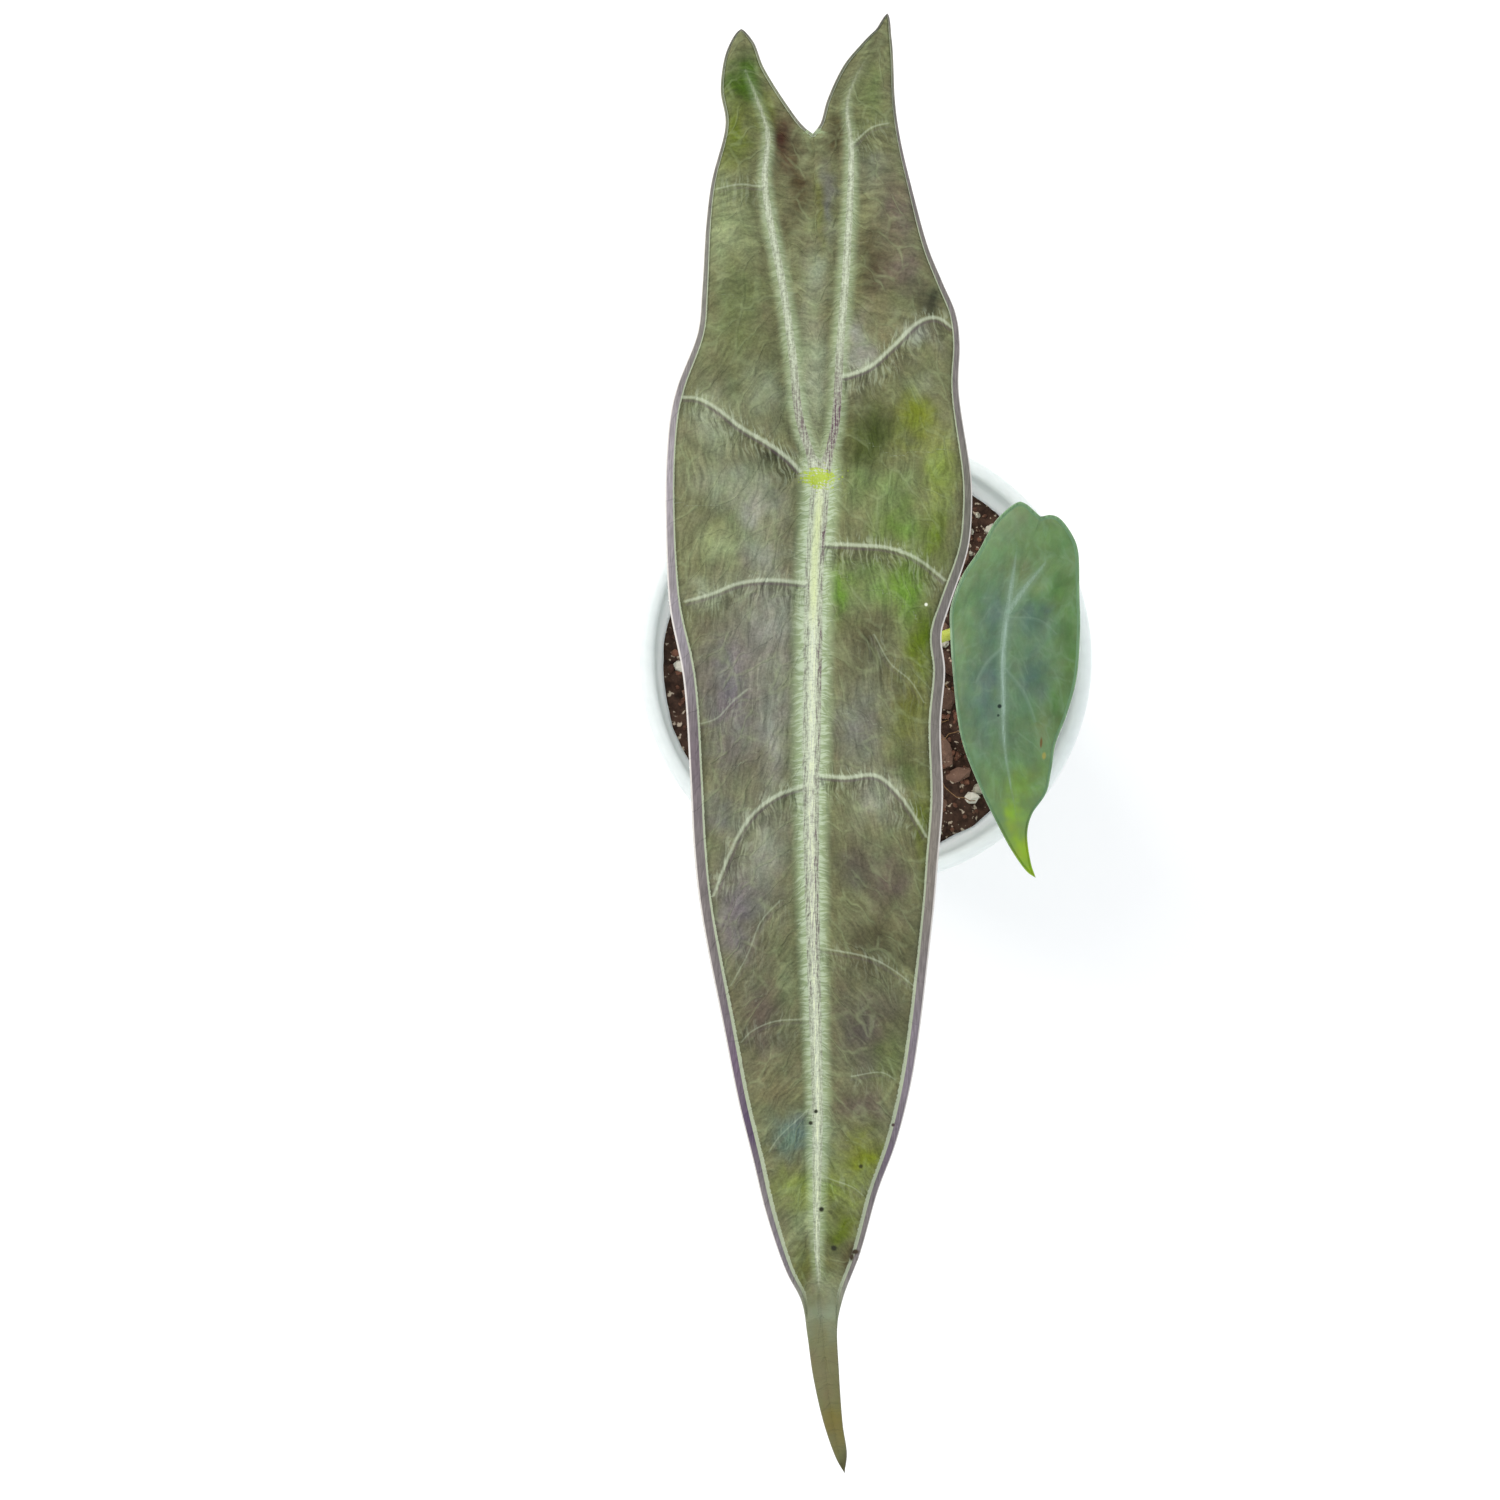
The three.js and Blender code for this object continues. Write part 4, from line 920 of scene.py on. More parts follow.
    # Layers from the skin up: two masks, paint, strength
    masks.update({"strength": strength, "flush": flush})
    masks.update({f"{key} net": net for key, net in nets.items()})
    paints = {key: linear(value) for key, value in look.items() if isinstance(value, str)}
    paints["margin"] = margin
    for first, second, paint, amount in (
        # Painted shade: a dark band just inside the raised margin
        ("inside", "body", "shadow", look["inside"]),
        ("coarse net", "broken", "bloom", look["net"]),
        ("fine net", "broken", "bloom", look["net"] * 0.5),
        ("glow", "body", "hair", look["glow"]),
        ("wide glow", "body", "hair", look["glow"]),
        ("comb", "glow", "comb_colour", look["comb_strength"] * 0.5),
        ("comb", "wide glow", "comb_colour", look["comb_strength"]),
        # Painted shade under the side ribs: a dark wash and dark strokes below each rib, among pale hair
        # strokes
        ("fan", "body", "shadow", 0.2),
        ("fan", "dark fan", "shadow", look["fan"]),
        ("fan", "pale fan", "side", look["fan"] * 0.6),
        ("halo", "pale fan", "side", look["fan"]),
        ("side", "strength", "side", look["side_strength"]),
        ("side core", "strength", "pale", look["side_strength"] * 0.6),
        # Painted shade in the furrow just below each side rib
        ("crease", "strength", "dull", 0.5),
        ("band", "body", "band", look["rib_strength"] * 0.8),
        ("band", "thread", "pale", look["rib_strength"] * 0.6),
        ("flank", "wide dull", "dull", 0.5),
        ("core", "body", "pale", look["rib_strength"] * 0.6),
        ("core", "wide rib", "pale", look["rib_strength"] * 1.1),
        ("band", "flush", "flush", 0.5),
        ("band", "dull thread", "flush", flush),
        ("band", "speck", "pale", look["rib_strength"] * 0.5),
        ("band", "dull speck", "dull", look["rib_strength"] * 0.5),
        ("cream", "thread", "cream", 0.8),
        ("cream", "ridge", "ridge", 0.4),
        ("joint", "body", "joint", 0.85),
        ("line", "body", "rim_colour", 0.75),
        ("rim", "body", "margin", 0.96),
        # Painted highlight: a pale line along the leaf's rolled outer edge
        ("lip", "body", "lip", 0.85),
        ("notch", "body", "hair", 0.7),
    ):
        both = add(tree, "Math", {0: masks[first], 1: masks[second]}, operation="MULTIPLY")
        factor = add(tree, "Math", {0: both, 1: amount}, operation="MULTIPLY")
        colour = add(tree, "Mix", {"Factor": factor, 6: colour, 7: paints[paint]}, data_type="RGBA")

    # Small scars: across, along, half width and half length in mm, colour
    for *oval, paint in look["specks"]:
        spot = add(tree, "MapRange", {"Value": off_oval(*oval), "From Min": 1.0, "From Max": 0.5})
        colour = add(tree, "Mix", {"Factor": spot, 6: colour, 7: linear(paint)}, data_type="RGBA")

    # Under face: paler and matte, flushed between pale ribs
    flushed = add(tree, "Mix", {
        "Factor": wide, 6: linear(look["under"]), 7: linear(look["under_deep"]),
    }, data_type="RGBA")
    beneath = add(tree, "HueSaturation", {"Color": flushed, "Value": value})
    for key, amount in (("coarse net", 0.35), ("side", strength), ("band", 0.85), ("rim", 0.4)):
        factor = add(tree, "Math", {0: masks[key], 1: amount}, operation="MULTIPLY")
        beneath = add(tree, "Mix", {
            "Factor": factor, 6: beneath, 7: linear(look["under_rib"]),
        }, data_type="RGBA")
    colour = add(tree, "Mix", {"Factor": read["under"], 6: colour, 7: beneath}, data_type="RGBA")

    relief = add(tree, "Math", {0: nets["coarse"], 1: 0.4, 2: stroke}, operation="MULTIPLY_ADD")
    bump = add(tree, "Bump", {"Height": relief, "Strength": look["bump"], "Distance": 0.0003})
    waxy = add(tree, "MapRange", {
        "Value": stroke, "From Min": 0.3, "From Max": 0.7,
        "To Min": look["rough"] + 0.1, "To Max": look["rough"] - 0.08,
    })
    shader = add(tree, "BsdfPrincipled", {
        "Base Color": colour, "Roughness": waxy, "Normal": bump, "IOR": 1.45,
        "Specular IOR Level": 0.14,
    })
    add(tree, "OutputMaterial", {"Surface": shader})
    return material


# %% Looks of the two blades and the blades themselves
# Strokes: degrees, length and width. Nets: degrees, length and width of a cell, half width of its line.
# Spots and specks: place, half width and half length. Depths and strengths are shares of full effect.
LARGE_LOOK = {
    "strokes": [("hair", -8, 2.0, 0.32), ("square", -14, 3.6, 0.75), ("upright", -80, 4.2, 0.65),
                ("slanting", -50, 4.0, 0.7), ("fan", -84, 2.4, 0.4), ("thread", 88, 2.4, 0.2)],
    "nets": [("coarse", -46, 9, 3.6, 0.12), ("fine", -30, 4, 1.7, 0.09)],
    "spots": {"joint": (-0.1, 0.3, 2.5, 1.4), "notch": (-0.9, 52.2, 1.2, 0.9)},
    "wander": 3.4, "hair_depth": 0.18, "stroke_depth": 0.24, "grain_depth": 0.16, "drift_depth": 0.12,
    "mottle": 0.12, "fringe": 2.0, "comb": 0.2, "glow": 0.4, "comb_strength": 0.36, "fan": 0.5,
    "side_half": 0.6, "side_shift": 0.22, "side_strength": 0.44, "rib_strength": 0.5,
    "rim_line": 0.17, "rim_line_low": 0.62, "net": 0.17,
    # inside and shade_reach set how dark and how wide the painted shade just inside the margin is
    "inside": 0.5, "shade_reach": 1.7, "tip_start": -124, "bump": 0.7, "rough": 0.55,
    "shadow": "#17190d", "bloom": "#98a67b", "hair": "#a1b58c", "comb_colour": "#ccdac2", "side": "#b5c1a6",
    "pale": "#d7e0c9", "dull": "#5a4b54", "band": "#979b88", "cream": "#d3dcb8", "ridge": "#b9c878",
    "flush": "#57374b", "joint": "#a5bb28", "rim_colour": "#b4bfa4", "lip": "#dcd8d2",
    "under": "#797871", "under_deep": "#6c6267", "under_rib": "#a3aa89",
    "specks": [(-0.4, -93.8, 0.4, 0.4, "#2f3226"), (-1.2, -95.6, 0.4, 0.4, "#2f3226"),
               (11.1, -95.6, 0.35, 0.35, "#4a3f3a"), (6.3, -101.9, 0.4, 0.4, "#3a3d1c"),
               (0.5, -109, 0.5, 0.5, "#2b2d1f"), (2.4, -115, 0.55, 0.55, "#2b2d1f"),
               (5.6, -115.6, 0.8, 0.5, "#3f3628"), (5.1, -116.4, 0.45, 0.8, "#453c2c"),
               (6.3, -116.9, 0.5, 0.6, "#5a5040"), (15.3, -18.4, 0.3, 0.3, "#dfe3d2")],
}
SMALL_LOOK = {
    **LARGE_LOOK,
    "strokes": [("hair", -8, 3.0, 0.6), ("square", -14, 5.0, 1.3), ("upright", -75, 6.0, 1.1),
                ("slanting", -55, 6.0, 1.1), ("fan", -84, 3.0, 0.6), ("thread", 88, 4.0, 0.4)],
    "nets": [("coarse", -48, 6.0, 3.2, 0.16), ("fine", -60, 3, 1.5, 0.1)],
    "spots": {"joint": (0, 0, 0.5, 0.5), "notch": (6, 30, 0.5, 0.5)},
    "hair_depth": 0.05, "stroke_depth": 0.06, "grain_depth": 0.03, "drift_depth": 0.12,
    "mottle": 0.2, "fringe": 1.6, "comb": 0.3, "glow": 0.35, "comb_strength": 0.1, "fan": 0.05,
    "side_half": 0.9, "side_shift": 0.0, "side_strength": 0.36, "rib_strength": 0.5,
    "rim_line": 0.6, "rim_line_low": 0.6, "net": 0.14,
    "inside": 0.0, "tip_start": -41, "bump": 0.25, "rough": 0.42,
    "shadow": "#48665a", "bloom": "#83a083", "hair": "#7b957f", "comb_colour": "#8ba690", "side": "#86a08b",
    "pale": "#98b09e", "dull": "#6d8976", "band": "#869f8b", "cream": "#9bb5a6", "ridge": "#9bb5a6",
    "flush": "#7d9888", "joint": "#86a48e", "rim_colour": "#6f9270", "lip": "#9db59a",
    "under": "#8ba37f", "under_deep": "#7f9a78", "under_rib": "#b9cba4",
    "specks": [(-1.2, -18.4, 0.55, 0.55, "#20302a"), (-1.4, -20.2, 0.35, 0.35, "#34463a"),
               (7.2, -25.6, 0.32, 1.3, "#6b5836"), (7.9, -28.2, 0.5, 0.9, "#93924f")],
}

for name, node, blade, finish, look in (
    ("Blade_long", "blade_large", LARGE_BLADE, "Hairy grey-green leaf skin", LARGE_LOOK),
    ("Blade_small", "blade_small", SMALL_BLADE, "Smooth blue-green leaf skin", SMALL_LOOK),
):
    finish_piece(blade_mesh(name, surveyed(blade), blade_material(finish, look)), node, node)

# %% [markdown]
# ## The nursery pot
# A grower's pot is moulded thin from milky polypropylene: a tapered wall of one millimetre, a rim folded
# down as a skirt, a foot ring with a raised floor, and slots that let water out. Stacked cylinders would
# leave hard joins, so its whole section is one line turned about the axis, with each corner softened to a
# small arc. The slots are cut with a Boolean modifier, as they interrupt the turned form.

# %% Turned forms
def rounded(profile, radius, steps=4):
    line = np.array(profile, float)
    soft = [line[0]]
    for before, corner, after in zip(line[:-2], line[1:-1], line[2:]):
        ends = []
        for far in (before, after):
            length = np.linalg.norm(far - corner)
            ends.append(corner + (far - corner) / length * min(radius, 0.45 * length))
        t = np.linspace(0, 1, steps + 1)[:, None]
        soft.extend((1 - t) ** 2 * ends[0] + 2 * t * (1 - t) * corner + t**2 * ends[1])
    return np.array([*soft, line[-1]])


def ring_faces(rings, sides):
    """Four-sided faces between rings of points that follow one another."""
    faces = []
    for low in range(0, (rings - 1) * sides, sides):
        for j in range(sides):
            k = (j + 1) % sides
            faces.append([low + j, low + k, low + sides + k, low + sides + j])
    return faces


def turned(profile, sides):
    """Points and faces of a profile that starts and ends on the Z axis, turned about it."""
    ring = np.linspace(0, 2 * np.pi, sides, endpoint=False)
    radius, height = np.array(profile[1:-1]).T
    points = np.stack([np.outer(radius, np.cos(ring)), np.outer(radius, np.sin(ring)),
                       np.repeat(height[:, None], sides, 1)], -1).reshape(-1, 3)
    points = np.vstack([points, [0, 0, profile[0][1]], [0, 0, profile[-1][1]]])
    faces = ring_faces(len(radius), sides)
    first, last, top = len(points) - 2, len(points) - 1, (len(radius) - 1) * sides
    faces += [[first, (n + 1) % sides, n] for n in range(sides)]
    faces += [[last, top + n, top + (n + 1) % sides] for n in range(sides)]
    return points, faces


# %% Milky polypropylene, injection moulded: satin, lets some light through, cloudy where it is thicker
def pot_material():
    material, tree = new_material("Milky polypropylene")
    here = add(tree, "TexCoord", take="Object")
    cloud = add(tree, "TexNoise", {"Vector": here, "Scale": 1000 / 14, "Detail": 3.0})
    flow_place = add(tree, "Mapping", {"Vector": here, "Scale": (1, 1, 0.06)})
    flow = add(tree, "TexNoise", {"Vector": flow_place, "Scale": 1000 / 3, "Detail": 2.0})
    streak = add(tree, "MapRange", {"Value": flow, "From Min": 0.4, "From Max": 0.75, "To Max": 0.35})
    colour = add(tree, "Mix", {
        "Factor": cloud, 6: linear("#e0f0ec"), 7: linear("#edf7f4"),
    }, data_type="RGBA")
    colour = add(tree, "Mix", {"Factor": streak, 6: colour, 7: linear("#d3dfdf")}, data_type="RGBA")
    rough = add(tree, "MapRange", {"Value": cloud, "To Min": 0.28, "To Max": 0.42})
    skin = add(tree, "TexNoise", {"Vector": here, "Scale": 1000 / 0.9, "Detail": 2.0})
    bump = add(tree, "Bump", {"Height": skin, "Strength": 0.12, "Distance": 0.0001})
    shader = add(tree, "BsdfPrincipled", {
        "Base Color": colour, "Roughness": rough, "Normal": bump, "IOR": 1.49, "Transmission Weight": 0.15,
        "Subsurface Weight": 1.0, "Subsurface Radius": (1, 1, 1), "Subsurface Scale": 0.006,
        # Painted light: a faint emission makes the thin wall glow a little
        "Emission Color": linear("#e4f1ef"), "Emission Strength": 0.05,
    })
    add(tree, "OutputMaterial", {"Surface": shader})
    return material


# %% Pot: its section, turned. All sizes in mm; a faint parting mark crosses the rim at two bearings
BASE_RADIUS, WALL, SKIRT_DEPTH = 35, 1, 6.5
FOOT_WIDTH, RECESS, FLOOR, HUB = 5, 2, 1.3, 8
GAP = 0.3
POT_SIDES = 288
BAND_LOW, BAND_HIGH, BAND_PROUD = 18, 60, 0.25
PARTING_BEARINGS = (-19.4, 160.6)
PARTING_DEPTH = 0.14


def wall_outer(z):
    return BASE_RADIUS + (RIM_RADIUS - 2 - BASE_RADIUS) * z / RIM_Z


def wall_inner(z):
    return wall_outer(z) - WALL


foot_inner = BASE_RADIUS - 0.5 - FOOT_WIDTH
under_rim = RIM_Z - WALL - 0.4
pot_profile = [
    (0, 0), (HUB, 0), (HUB + 1, RECESS), (foot_inner - 1, RECESS), (foot_inner, 0), (BASE_RADIUS - 0.5, 0),
    (wall_outer(0.8), 0.8), (wall_outer(BAND_LOW), BAND_LOW),
    (wall_outer(BAND_LOW + 0.6) + BAND_PROUD, BAND_LOW + 0.6),
    (wall_outer(BAND_HIGH) + BAND_PROUD, BAND_HIGH),
    (wall_outer(BAND_HIGH + 0.6), BAND_HIGH + 0.6), (wall_outer(under_rim), under_rim),
    (RIM_RADIUS - WALL, under_rim), (RIM_RADIUS - WALL, RIM_Z - SKIRT_DEPTH),
    (RIM_RADIUS - 0.1, RIM_Z - SKIRT_DEPTH), (RIM_RADIUS, RIM_Z - 1.2), (RIM_RADIUS - 0.6, RIM_Z - 0.2),
    (RIM_RADIUS - 1.5, RIM_Z), (RIM_RADIUS - 2.6, RIM_Z - 0.3), (wall_inner(RIM_Z - 1.2), RIM_Z - 1.2),
    (wall_inner(RIM_Z - 30), RIM_Z - 30), (wall_inner(2.4), 2.4), (wall_inner(FLOOR) - 1, FLOOR),
    (foot_inner - 0.2, FLOOR), (foot_inner - 1.2, RECESS + FLOOR), (HUB + 0.8, RECESS + FLOOR),
    (HUB - 0.2, FLOOR), (0, FLOOR),
]
points, faces = turned(rounded(pot_profile, 0.45), POT_SIDES)
bearing = np.arctan2(points[:, 1], points[:, 0])
for parting in np.radians(PARTING_BEARINGS):
    off_line = np.abs(np.angle(np.exp(1j * (bearing - parting)))) * RIM_RADIUS
    on_rim = points[:, 2] > RIM_Z - 1.5
    points[:, 2] -= np.where(on_rim, PARTING_DEPTH * bell(off_line, 0.7), 0)
pot = mesh_object("Nursery_pot", points, faces, pot_material())

# %% Drain slots, cut through the foot of the wall
SLOTS, SLOT_SIDES = 8, 12
SLOT_HALF_WIDTH, SLOT_RISE, SLOT_REACH = 4, 3.2, 4

slot_points, slot_faces = [], []
for n in range(SLOTS):
    turn = (n + 0.5) * 2 * math.pi / SLOTS
    for radial in (-SLOT_REACH, SLOT_REACH):
        for around in range(SLOT_SIDES):
            angle = 2 * math.pi * around / SLOT_SIDES
            across, rise = (size * np.sign(share) * abs(share) ** 0.5 for size, share in (
                (SLOT_HALF_WIDTH, math.cos(angle)), (SLOT_RISE, math.sin(angle))))
            outward = BASE_RADIUS + radial
            slot_points.append((outward * math.cos(turn) - across * math.sin(turn),
                                outward * math.sin(turn) + across * math.cos(turn), rise))
    ends = [list(reversed(range(SLOT_SIDES))), list(range(SLOT_SIDES, 2 * SLOT_SIDES))]
    slot_faces += [[n * 2 * SLOT_SIDES + i for i in face] for face in ring_faces(2, SLOT_SIDES) + ends]
cutter = mesh_object("Slot_cutter", slot_points, slot_faces, pot.data.materials[0])
cut = pot.modifiers.new("Drain slots", "BOOLEAN")
cut.operation, cut.solver, cut.object = "DIFFERENCE", "EXACT", cutter
made_plain(pot)
bpy.data.objects.remove(cutter)
pot.data.set_sharp_from_angle(angle=math.radians(40))
finish_piece(pot, "pot", "pot")

# %% [markdown]
# ## Geometry Nodes that grow and scatter
# Roots, stalks and loose bits repeat many times, so two small node trees make them. One grows a round shoot
# along a path of points, each with its own thickness. The other drops copies of a few small shapes on a
# surface at random, from a fixed seed. Both end with real mesh and a material, so the result can be exported.

# %% Node trees
def new_tree(name, inputs):
    tree = bpy.data.node_groups.new(name, "GeometryNodeTree")
    tree.interface.new_socket("Geometry", in_out="INPUT", socket_type="NodeSocketGeometry")
    for label, kind in inputs.items():
        tree.interface.new_socket(label, in_out="INPUT", socket_type=f"NodeSocket{kind}")
    tree.interface.new_socket("Geometry", in_out="OUTPUT", socket_type="NodeSocketGeometry")
    return tree, add(tree, "NodeGroupInput").node.outputs


def grown(obj, tree, values):
    modifier = obj.modifiers.new(tree.name, "NODES")
    modifier.node_group = tree
    for item in tree.interface.items_tree:
        if item.item_type == "SOCKET" and item.in_out == "INPUT" and item.name in values:
            modifier[item.identifier] = values[item.name]
    return made_plain(obj)


shoot_tree, given = new_tree("Round shoots along paths", {"Sides": "Int", "Finish": "Material"})
path = add(shoot_tree, "GeometryNodeMeshToCurve", {"Mesh": given["Geometry"]})
thickness = add(shoot_tree, "GeometryNodeInputNamedAttribute", {"Name": "thickness"}, data_type="FLOAT")
circle = add(shoot_tree, "GeometryNodeCurvePrimitiveCircle", {"Resolution": given["Sides"], "Radius": 1.0})
shoot = add(shoot_tree, "GeometryNodeCurveToMesh", {
    "Curve": path, "Profile Curve": circle, "Scale": thickness, "Fill Caps": True,
})
shoot = add(shoot_tree, "GeometryNodeSetShadeSmooth", {"Geometry": shoot})
shoot = add(shoot_tree, "GeometryNodeRealizeInstances", {"Geometry": shoot})
shoot = add(shoot_tree, "GeometryNodeSetMaterial", {"Geometry": shoot, "Material": given["Finish"]})
add(shoot_tree, "NodeGroupOutput", {"Geometry": shoot})

scatter_tree, given = new_tree("Scatter loose bits", {
    "Shapes": "Collection", "Per square metre": "Float", "Smallest": "Float", "Largest": "Float",
    "Tilt": "Float", "Seed": "Int", "Finish": "Material",
})
spots = add(scatter_tree, "GeometryNodeDistributePointsOnFaces", {
    "Mesh": given["Geometry"], "Density": given["Per square metre"], "Seed": given["Seed"],
})
shapes = add(scatter_tree, "GeometryNodeCollectionInfo", {
    "Collection": given["Shapes"], "Separate Children": True, "Reset Children": True,
})
leaning = add(scatter_tree, "Math", {0: given["Tilt"], 1: -1.0}, operation="MULTIPLY")
least = add(scatter_tree, "CombineXYZ", {0: leaning, 1: leaning})
most = add(scatter_tree, "CombineXYZ", {0: given["Tilt"], 1: given["Tilt"], 2: 2 * math.pi})
turn = add(scatter_tree, "FunctionNodeRandomValue", {
    0: least, 1: most, 8: given["Seed"]}, data_type="FLOAT_VECTOR")
size = add(scatter_tree, "FunctionNodeRandomValue", {2: given["Smallest"], 3: given["Largest"], 8: 3})
turn = add(scatter_tree, "FunctionNodeEulerToRotation", {0: turn})
bits = add(scatter_tree, "GeometryNodeInstanceOnPoints", {
    "Points": spots, "Instance": shapes, "Pick Instance": True, "Rotation": turn, "Scale": size,
})
shade = add(scatter_tree, "FunctionNodeRandomValue", {2: 0.0, 3: 1.0, 8: 7})
bits = add(scatter_tree, "GeometryNodeStoreNamedAttribute", {
    "Geometry": bits, "Name": "shade", "Value": shade,
}, data_type="FLOAT", domain="INSTANCE")
bits = add(scatter_tree, "GeometryNodeRealizeInstances", {"Geometry": bits})
bits = add(scatter_tree, "GeometryNodeSetMaterial", {"Geometry": bits, "Material": given["Finish"]})
add(scatter_tree, "NodeGroupOutput", {"Geometry": bits})
print("node trees:", shoot_tree.name, "and", scatter_tree.name)

# %% [markdown]
# ## The potting mix
# An aroid grows in a loose mix of bark, peat and perlite. The bed is a closed form that fills the pot, with a
# lumpy top whose level follows the imported model. Bark chips, perlite grains, crumbs and coir fibres are then
# scattered on it. Modelling each by hand would give no more than four or five shapes of each do.

# %% Finishes of the mix: all matte and flecked; perlite is pitted, peat is a dark crumb
def loose_material(name, dark, pale, speck, speck_share, grain_mm, rough):
    material, tree = new_material(name)
    here = add(tree, "TexCoord", take="Object")
    shade = add(tree, "Attribute", take="Fac", attribute_name="shade")
    coarse = add(tree, "TexNoise", {
        "Vector": here, "Scale": 1000 / grain_mm, "Detail": 5.0, "Roughness": 0.65})
    mixed = add(tree, "Math", {0: coarse, 1: shade}, operation="ADD")
    share = add(tree, "MapRange", {"Value": mixed, "From Min": 0.35, "From Max": 1.4})
    colour = add(tree, "Mix", {"Factor": share, 6: linear(dark), 7: linear(pale)}, data_type="RGBA")
    spots = add(tree, "TexNoise", {"Vector": here, "Scale": 1000 / (grain_mm * 0.6), "Detail": 2.0})
    spot = add(tree, "MapRange", {
        "Value": spots, "From Min": 1 - speck_share, "From Max": 1.06 - speck_share})
    colour = add(tree, "Mix", {"Factor": spot, 6: colour, 7: linear(speck)}, data_type="RGBA")
    bump = add(tree, "Bump", {"Height": coarse, "Strength": 0.9, "Distance": 0.0004})
    shader = add(tree, "BsdfPrincipled", {
        "Base Color": colour, "Roughness": rough, "Normal": bump, "Specular IOR Level": 0.25,
    })
    add(tree, "OutputMaterial", {"Surface": shader})
    return material


# %% Bed of the mix: level and foot in mm; it banks up at one bearing and dips at another
BED_SIDES, BED_RINGS, BLEND_DEPTH = 240, 64, 14
BANK, DIP = (3.5, 205, 38), (3.5, 138, 28)
MIX_LEVEL = RIM_Z - 11.5
MIX_FOOT = RECESS + FLOOR + GAP


def mix_height(x, y):
    bearing = np.degrees(np.arctan2(y, x)) % 360
    outward = np.minimum(1, np.hypot(x, y) / wall_inner(MIX_LEVEL)) ** 2
    bank, dip = (height * bell(bearing - middle, half) for height, middle, half in (BANK, DIP))
    lumps = 0.8 * np.sin(x / 3.1 + 1.3) * np.sin(y / 2.7 + 0.4) + 0.5 * np.sin(x / 1.7 + y / 2.9)
    crumb = 0.5 * soft_noise(x / 1.6 + 40, y / 1.6 + 40, 12)
    crumb += 0.3 * soft_noise(x / 0.8 + 80, y / 0.8 + 80, 13)
    return MIX_LEVEL + outward * (bank - dip) + lumps + crumb


level_radius = wall_inner(MIX_LEVEL) - GAP
bed_profile = [(0, MIX_FOOT), *[(wall_inner(z) - GAP, z) for z in np.linspace(MIX_FOOT, MIX_LEVEL, 14)]]
bed_profile += [(share * level_radius, MIX_LEVEL) for share in np.linspace(1, 0, BED_RINGS)[1:]]
points, faces = turned(bed_profile, BED_SIDES)
surface = points[:, 2] > MIX_LEVEL - 0.01
height = mix_height(points[:, 0], points[:, 1])
share = np.where(surface, (wall_inner(height) - GAP - 0.12) / level_radius, 1)
points[:, :2] *= share[:, None]
rim_rows = (points[:, 2] > MIX_LEVEL - BLEND_DEPTH) & ~surface
points[:, 2] = np.where(surface, height, points[:, 2])
follow = np.clip((points[rim_rows, 2] - MIX_LEVEL + BLEND_DEPTH) / BLEND_DEPTH, 0, 1)
points[rim_rows, 2] += (height[rim_rows] - MIX_LEVEL) * follow
bed = mesh_object("Potting_mix_bed", points, faces, loose_material(
    "Peat and fine bark", "#2b1d16", "#80604f", "#b9aa96", 0.38, 2.2, 0.95))
finish_piece(bed, "potting_mix", "potting_mix")


# %% Small shapes to scatter: knobbly balls, flattened or stretched, and bent threads. Sizes in mm
THREAD_SPANS, THREAD_SIDES = 7, 4


def knobbly(name, sizes, rough, seed):
    """One shape for each size, a coarse ball with its points pushed in and out at random."""
    shapes = []
    for n, size in enumerate(sizes):
        work = bmesh.new()
        bmesh.ops.create_icosphere(work, subdivisions=1, radius=1)
        random = np.random.default_rng(seed + n)
        for vertex in work.verts:
            vertex.co *= 1 + rough * random.uniform(-1, 1)
            vertex.co = [c * s * MM / 2 for c, s in zip(vertex.co, size)]
        shapes.append(bpy.data.meshes.new(f"{name} {n}"))
        work.to_mesh(shapes[-1])
        work.free()
    return shapes


def bent_thread(name, length, radius, seed):
    random = np.random.default_rng(seed)
    bends = random.normal((1, 0, 0), (0.2, 0.5, 0.16), (THREAD_SPANS, 3))
    path = np.cumsum(np.vstack([[0, 0, 0], bends]), 0) * length / THREAD_SPANS
    ring = np.linspace(0, 2 * np.pi, THREAD_SIDES, endpoint=False)
    points = [p + (0, radius * math.cos(a), radius * math.sin(a)) for p in path for a in ring]
    last = THREAD_SPANS * THREAD_SIDES
    ends = [list(reversed(range(THREAD_SIDES))), list(range(last, last + THREAD_SIDES))]
    shape = bpy.data.meshes.new(name)
    shape.from_pydata((np.array(points) * MM).tolist(), [], ring_faces(THREAD_SPANS + 1, THREAD_SIDES) + ends)
    return shape


# %% Scatter on a ring of the bed's surface
GROUND_RINGS, GROUND_SIDES = 24, 96


def scattered(name, shapes, inner, outer, sink, finish, *spread):
    """spread gives the number per square metre, the smallest and largest scale, the tilt and the seed."""
    collection = bpy.data.collections.new(name + " shapes")
    for shape in shapes:
        collection.objects.link(bpy.data.objects.new(shape.name, shape))
    ground = []
    for reach in np.linspace(inner, outer, GROUND_RINGS):
        for angle in np.linspace(0, 2 * np.pi, GROUND_SIDES, endpoint=False):
            x, y = reach * math.cos(angle), reach * math.sin(angle)
            ground.append((x, y, float(mix_height(np.float64(x), np.float64(y))) + sink))
    upward = [face[::-1] for face in ring_faces(GROUND_RINGS, GROUND_SIDES)]
    piece = mesh_object(name, ground, upward, finish)
    grown(piece, scatter_tree, {"Shapes": collection, "Finish": finish, **dict(zip(
        ("Per square metre", "Smallest", "Largest", "Tilt", "Seed"), spread))})
    for helper in list(collection.objects):
        bpy.data.objects.remove(helper)
    bpy.data.collections.remove(collection)
    finish_piece(piece, "potting_mix", "potting_mix")


